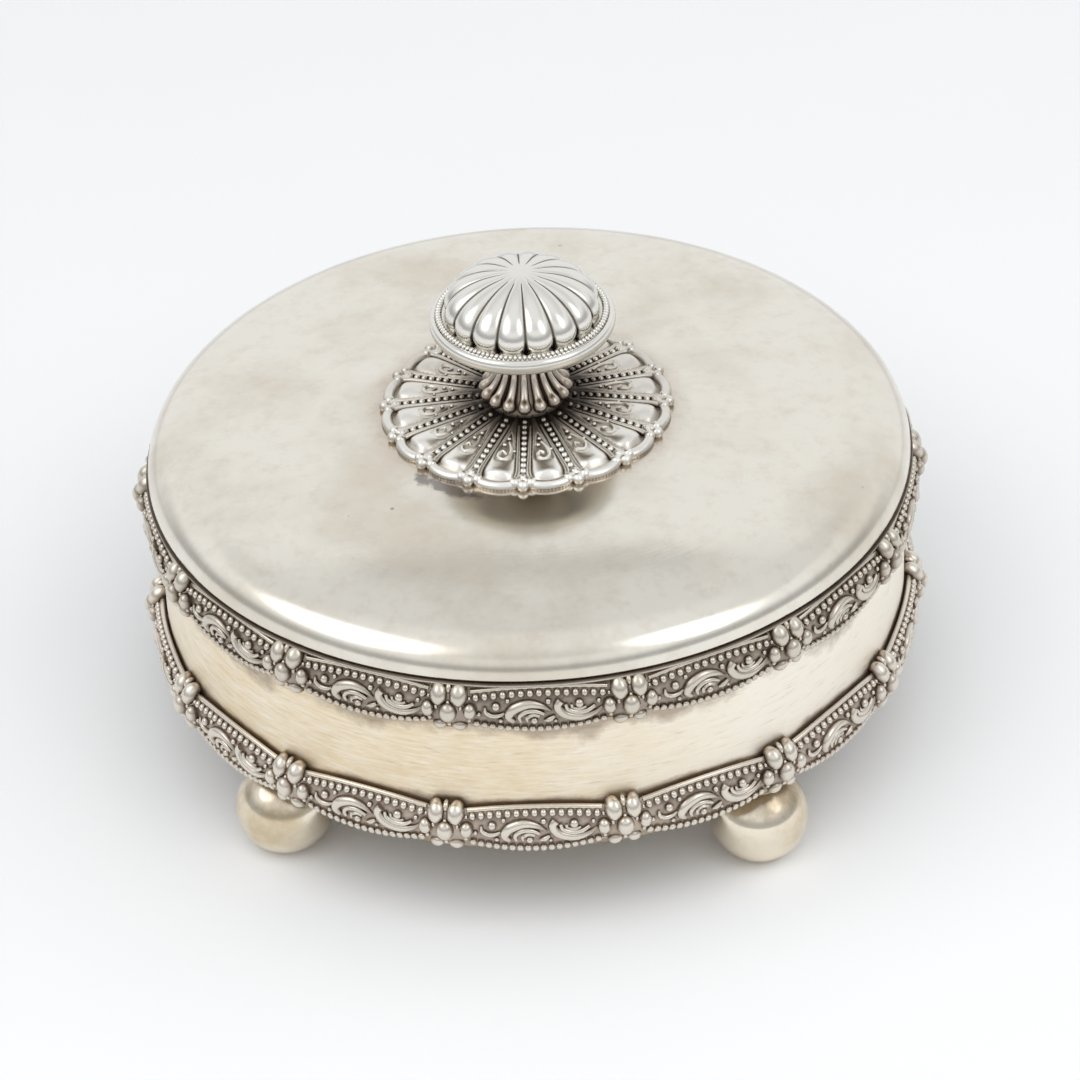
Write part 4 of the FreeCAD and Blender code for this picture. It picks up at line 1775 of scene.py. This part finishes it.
@dataclass
class Knob:
    """Ribbed stem, saucer, beaded wire and gadrooned cap, with the stud, washer and nut that hold them."""

    seat: float = 68.4525
    saucer_bottom: float = 83.0525
    saucer_top: float = 86.2525
    cap_seat: float = 85.7525
    cap: float = 13.7
    cap_height: float = 8.75
    cap_tuck: float = 1.7
    cap_turn: float = -3.5
    lobes: int = 16
    lobe_depth: float = 0.8
    ribs: int = 16
    rib_turn: float = -8.25
    pearls: int = 112
    pearl: float = 0.46
    pearl_circle: float = 14.7

    def stem(self) -> Object:
        """Turn the stem's core and lay the ribs that flare from it and swell at the foot.

        Returns:
            The stem.
        """
        low = self.seat - 0.4
        high = self.saucer_bottom + 0.1
        core = flowing(
            (
                (7.0, low),
                (6.6, low + 1.4),
                (5.2, low + 3.6),
                (3.9, low + 6.4),
                (3.6, low + 10.0),
                (4.4, high),
            ),
            24,
        )
        trunk = lathe("trunk", [(0.0, low), *core, (0.0, high)], 96)
        marked(trunk, lambda spot: 0.3)
        marks = (
            (4.7, self.saucer_bottom - 0.1, 0.58),
            (4.2, 80.4, 0.52),
            (4.05, 77.8, 0.52),
            (4.2, 75.6, 0.56),
            (4.75, 73.8, 0.66),
            (5.5, 72.4, 0.78),
            (6.2, 71.5, 0.88),
            (6.75, 70.9, 1.18),
            (7.1, 70.4, 1.28),
            (7.35, 69.9, 1.12),
            (7.5, 69.5, 0.55),
        )
        row = flowing(marks, 34)
        rib = sweep("rib", [(x, 0.0, z) for x, z, _ in row], [mark[2] for mark in row], 10, "Y")
        spine = [(x, z) for x, z, _ in row]

        def proud(spot: Vector) -> float:
            """Share by which a point stands away from the axis and from the groove."""
            near = min(spine, key=lambda mark: (mark[0] - spot.x) ** 2 + (mark[1] - spot.z) ** 2)
            return 0.95 - 0.6 * min(abs(spot.y) / 0.75, 1.0) ** 2 - (0.3 if spot.x < near[0] - 0.2 else 0.0)

        marked(rib, proud)
        step = 360.0 / self.ribs
        turns = [self.rib_turn + step * (index + 0.5) for index in range(self.ribs)]
        ring = [placed(rib, (0.0, 0.0, 0.0), turn=turn) for turn in turns]
        scrapped(rib)
        return joined("knob_stem_silver", [trunk, *ring])

    def dish(self) -> Object:
        """Turn the saucer with its rolled rim and the ledge that the beading sits on.

        Returns:
            The saucer.
        """
        low, top = self.saucer_bottom, self.saucer_top
        under = bezier(((4.4, low), (9.5, low), (13.6, low - 0.1), (14.9, low + 0.2)), 12)
        rim = bezier(((14.9, low + 0.2), (16.9, low + 0.35), (16.7, top), (15.55, top)), 18)
        seat = self.cap_seat
        inner = bezier(((15.55, top), (15.2, top), (15.2, top - 0.25), (15.15, seat - 0.1)), 6)
        floor = seat + 0.5
        ledge = [(15.0, floor - 0.2), (14.8, floor), (13.0, floor), (12.0, seat), (0.0, seat)]
        profile = [(0.0, low), *under, *rim[1:], *inner[1:-1], *ledge]
        piece = lathe("knob_saucer_silver", profile, 160)

        def bared(spot: Vector) -> float:
            """Share of bright metal: lower in a band below the rim's top, a painted dark reflection, and
            beside the cap, oxide and painted shade under the beads.

            Args:
                spot: Point of the saucer in mm.

            Returns:
                The share.
            """
            if spot.xy.length < 14.95:
                return 0.7 if spot.z > low + 1.0 else 0.95
            # Painted dark reflection in a band on the rim's outer face.
            above = smooth_step(spot.z, low + 0.1, low + 0.9)
            band = above * (1.0 - smooth_step(spot.z, top - 1.3, top - 0.5))
            return 0.9 - 0.45 * band

        return marked(piece, bared)

    def beading(self) -> Object:
        """Set the ring of pearls on its wire.

        Returns:
            The beading.
        """
        level = self.cap_seat + self.pearl + 0.25
        wire = lathe("wire", arc((self.pearl_circle - 0.2, level - 0.25), 0.3, 0.0, 360.0, 9), 160)
        marked(wire, lambda spot: 0.55)
        bead = marked(button("bead", 8, 6, 0.9), lambda spot: 0.6 + 0.4 * spot.z)
        step = 2 * math.pi / self.pearls
        ring = []
        for index in range(self.pearls):
            x = self.pearl_circle * math.cos(index * step)
            y = self.pearl_circle * math.sin(index * step)
            long = (self.pearl * 1.4, self.pearl * 0.88, self.pearl)
            ring.append(placed(bead, (x, y, level), long, math.degrees(index * step)))
        scrapped(bead)
        return joined("knob_beading_silver", [wire, *ring])

    def groove(self, spot: Vector) -> float:
        """Place of a point across its gadroon: 0 on the crest, 1 in the groove.

        Args:
            spot: Point of the cap in mm.

        Returns:
            The place.
        """
        step = 2 * math.pi / self.lobes
        along = (math.atan2(spot.y, spot.x) - math.radians(self.cap_turn)) / step
        return abs(along - round(along)) * 2.0

    def melon(self) -> Object:
        """Turn the cap and sink sixteen grooves that fade out at the crown.

        Returns:
            The cap.
        """
        equator = self.cap_seat + self.cap_tuck
        rise = self.cap_height - self.cap_tuck
        crown = [
            (self.cap * abs(math.cos(turn)) ** 0.95, equator + rise * abs(math.sin(turn)) ** 0.95)
            for turn in (math.radians(90.0 - 90.0 * index / 40) for index in range(41))
        ]
        seat = self.cap_seat
        lower = ((self.cap, equator), (self.cap, equator - 0.9), (13.4, seat + 0.3), (12.7, seat))
        tuck = bezier(lower, 10)
        profile = [(0.0, crown[0][1]), *crown[1:], *tuck[1:], (0.0, seat)]
        piece = lathe("knob_cap_silver", profile, self.lobes * 20)

        def sunk(spot: Vector) -> float:
            """Depth of the groove at a point.

            Args:
                spot: Point of the cap in mm.

            Returns:
                The depth in mm.
            """
            reach = math.hypot(spot.x, spot.y)
            low = smooth_step(reach, 5.0, 13.5)
            fade = smooth_step(reach, 1.6, 4.5)
            return self.lobe_depth * (0.35 + 0.65 * low) * fade * self.groove(spot) ** (3.4 - 1.1 * low)

        def bared(spot: Vector) -> float:
            """Share of bright metal: dark lines in the grooves and dark wedges between the lower ends,
            oxide with painted shade.

            Args:
                spot: Point of the cap in mm.

            Returns:
                The share.
            """
            reach = math.hypot(spot.x, spot.y)
            # Oxide and painted shade in the grooves and between the gadroons' lower ends.
            line = smooth_step(self.groove(spot), 0.72, 0.97) * smooth_step(reach, 2.0, 3.6)
            foot = smooth_step(equator + 1.6 - spot.z, 0.0, 3.0) * self.groove(spot) ** 2.4
            return 1.0 - 0.85 * line - 0.6 * foot

        def grooved(spot: Vector) -> Vector:
            """Move a point down into its groove and round the gadroon's lower end.

            Args:
                spot: Point of the cap in mm.

            Returns:
                Its new place in mm.
            """
            if math.hypot(spot.x, spot.y) < 0.5 or spot.z < seat + 0.01:
                return spot
            upward = max(spot.z - equator, 0.0) / rise**2
            outward = Vector((spot.x / self.cap**2, spot.y / self.cap**2, upward)).normalized()
            below = smooth_step(equator + 0.4 - spot.z, 0.0, 2.2)
            return spot - outward * (sunk(spot) + 0.6 * below * self.groove(spot) ** 3)

        def gathered(spot: Vector) -> Vector:
            """Draw the points of a gadroon together towards its grooves, where the shape turns fastest.

            Args:
                spot: Point of the cap in mm.

            Returns:
                Its new place in mm.
            """
            reach = math.hypot(spot.x, spot.y)
            step = 2 * math.pi / self.lobes
            along = math.atan2(spot.y, spot.x) / step
            across = (along - round(along)) * 2.0
            crowded = math.copysign(1.0 - (1.0 - min(abs(across), 1.0)) ** 1.6, across)
            turn = (round(along) + crowded / 2.0) * step + math.radians(self.cap_turn)
            return Vector((reach * math.cos(turn), reach * math.sin(turn), spot.z))

        reshaped(piece, gathered)
        marked(piece, bared)
        return reshaped(piece, grooved)

    def build(self) -> list[Object]:
        """Make the knob and dress its fixing.

        Returns:
            The stem, the saucer, the beading and the cap.
        """
        for name in ("knob_stud", "knob_washer", "knob_nut"):
            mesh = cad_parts[name].data
            mesh.materials.clear()
            mesh.materials.append(STEEL.material())
            LOG.info("%s: kept from the frame", name)
        return [
            dressed(self.stem(), ANTIQUED, Body.LID, ["knob_stem"], 60.0),
            dressed(self.dish(), GADROONED, Body.LID, ["knob_saucer"]),
            dressed(self.beading(), GADROONED, Body.LID, ["knob_beading"], 60.0),
            dressed(self.melon(), GADROONED, Body.LID, ["knob_cap"], 75.0),
        ]


# Studio


@dataclass
class Softbox:
    """Large soft lamp, placed by its bearing from the front and its height above the floor.

    A lamp that isn't mirrored lights the floor without a highlight on the metal.
    """

    name: str
    bearing: float
    elevation: float
    distance: float
    width: float
    height: float
    power: float
    mirrored: bool = True

    def build(self, target: Vector) -> None:
        """Hang the lamp so that it faces a point.

        Args:
            target: Point that the lamp faces, in metres.
        """
        side = math.radians(self.bearing)
        tilt = math.radians(self.elevation)
        away = Vector((math.sin(side) * math.cos(tilt), -math.cos(side) * math.cos(tilt), math.sin(tilt)))
        lamp = bpy.data.lights.new(self.name, "AREA")
        lamp.shape = "ELLIPSE"
        lamp.size = self.width * MM
        lamp.size_y = self.height * MM
        lamp.energy = self.power
        holder = bpy.data.objects.new(self.name, lamp)
        bpy.context.scene.collection.objects.link(holder)
        holder.visible_glossy = self.mirrored
        holder.location = target + away * self.distance * MM
        holder.rotation_euler = (-away).to_track_quat("-Z", "Y").to_euler()


@dataclass
class Studio:
    """White floor, soft light and the camera at the photograph's place."""

    floor_radius: float = 2600.0
    target: Spot = (1.216, 0.0, 36.61)
    bearing: float = 6.0
    elevation: float = 36.05
    roll: float = -2.77
    distance: float = 983.25
    lens: float = 181.5
    sky: float = 0.5
    middle: Spot = (0.0, 0.0, 45.0)
    mirrored_room: tuple[tuple[float, str], ...] = (
        (0.0, "#BEBDBA"),
        (0.2, "#BEBDBA"),
        (0.42, "#FFFFFF"),
        (0.7, "#FFFFFF"),
        (0.71, "#C9C9C7"),
        (0.724, "#EBEBE9"),
        (0.85, "#EDEDEB"),
        (0.97, "#FFFFFF"),
    )
    lamps: tuple[Softbox, ...] = (
        Softbox("left_softbox", -60.0, 48.0, 1100.0, 900.0, 800.0, 2.0),
        Softbox("right_softbox", 58.0, 44.0, 1100.0, 560.0, 800.0, 1.3),
        Softbox("right_fill", 100.0, 40.0, 1100.0, 900.0, 800.0, 1.1, False),
        Softbox("front_softbox", 6.0, 56.0, 2600.0, 2800.0, 2400.0, 33.0, False),
    )

    def floor(self) -> None:
        """Lay the floor."""
        pick()
        bpy.ops.mesh.primitive_circle_add(vertices=96, radius=self.floor_radius * MM, fill_type="NGON")
        sheet = bpy.context.object
        sheet.name = "floor"
        bpy.ops.object.mode_set(mode="EDIT")
        bpy.ops.mesh.select_all(action="SELECT")
        bpy.ops.mesh.inset(thickness=self.floor_radius * MM * 0.8)
        bpy.ops.object.mode_set(mode="OBJECT")
        sheet.data.materials.append(PAPER.material())

    def world(self) -> None:
        """Light the room evenly: white to the eye, with a dimmer band at eye level for the metal."""
        room = bpy.data.worlds.new("soft_white_room")
        bpy.context.scene.world = room
        room.use_nodes = True
        room.node_tree.nodes.clear()
        add = partial(add_node, room.node_tree)
        way = add("TexCoord", out="Generated")
        axes = add("SeparateXYZ", None, {"Vector": way}).node.outputs
        back = add("Math", {"operation": "MULTIPLY", 1: 0.6}, {0: axes["Y"]})
        rise = add("Math", {"operation": "MAXIMUM"}, {0: axes["Z"], 1: back})
        mirrored = add("ValToRGB", {"ramp": self.mirrored_room}, {"Fac": rise})
        path = add("LightPath").node.outputs
        rays = {0: path["Is Glossy Ray"], 1: path["Is Transmission Ray"]}
        bent = add("Math", {"operation": "MAXIMUM"}, rays)
        level = add("MixRGB", {"Color1": (self.sky,) * 3 + (1.0,)}, {"Fac": bent, "Color2": mirrored})
        seen = add("MixRGB", {"Color2": (1.0,) * 4}, {"Fac": path["Is Camera Ray"], "Color1": level})
        light = add("Background", {"Color": linear("#FBFDFF")}, {"Strength": seen})
        add("OutputWorld", None, {"Surface": light})

    def camera(self) -> None:
        """Place the camera where the photograph was taken from."""
        tilt = math.radians(self.elevation)
        roll = math.radians(self.roll)
        side = Vector((1.0, 0.0, 0.0))
        rise = Vector((0.0, math.sin(tilt), math.cos(tilt)))
        away = Vector((0.0, -math.cos(tilt), math.sin(tilt)))
        right = side * math.cos(roll) + rise * math.sin(roll)
        up = rise * math.cos(roll) - side * math.sin(roll)
        spot = Vector(self.target) * MM + away * self.distance * MM
        stand = Matrix((right, up, away)).transposed().to_4x4()
        stand.translation = spot
        view = bpy.data.cameras.new("camera")
        view.lens = self.lens
        view.sensor_width = 36.0
        view.clip_start = 0.01
        holder = bpy.data.objects.new("camera", view)
        bpy.context.scene.collection.objects.link(holder)
        holder.matrix_world = Matrix.Rotation(math.radians(self.bearing), 4, "Z") @ stand
        bpy.context.scene.camera = holder

    def build(self) -> None:
        """Set up floor, light and camera."""
        bpy.context.scene.view_settings.view_transform = "Standard"
        self.camera()
        self.floor()
        self.world()
        for lamp in self.lamps:
            lamp.build(Vector(self.middle) * MM)


def main() -> None:
    """Build the studio and every sub-assembly of the box."""
    logging.basicConfig(level=logging.INFO, format="%(name)s: %(message)s")
    Studio().build()
    upper = Border("upper_border", 51.07, -0.6, STAMPED, flush=True)
    lower = Border("lower_border", 25.15, -2.1, PALE)
    parts = (
        Feet(),
        Drum(upper, lower),
        upper,
        lower,
        Lid(),
        Rosette(),
        Knob(),
    )
    for part in parts:
        made = part.build()
        LOG.info("%s: %d pieces", type(part).__name__, len(made))


if __name__ == "__main__":
    main()
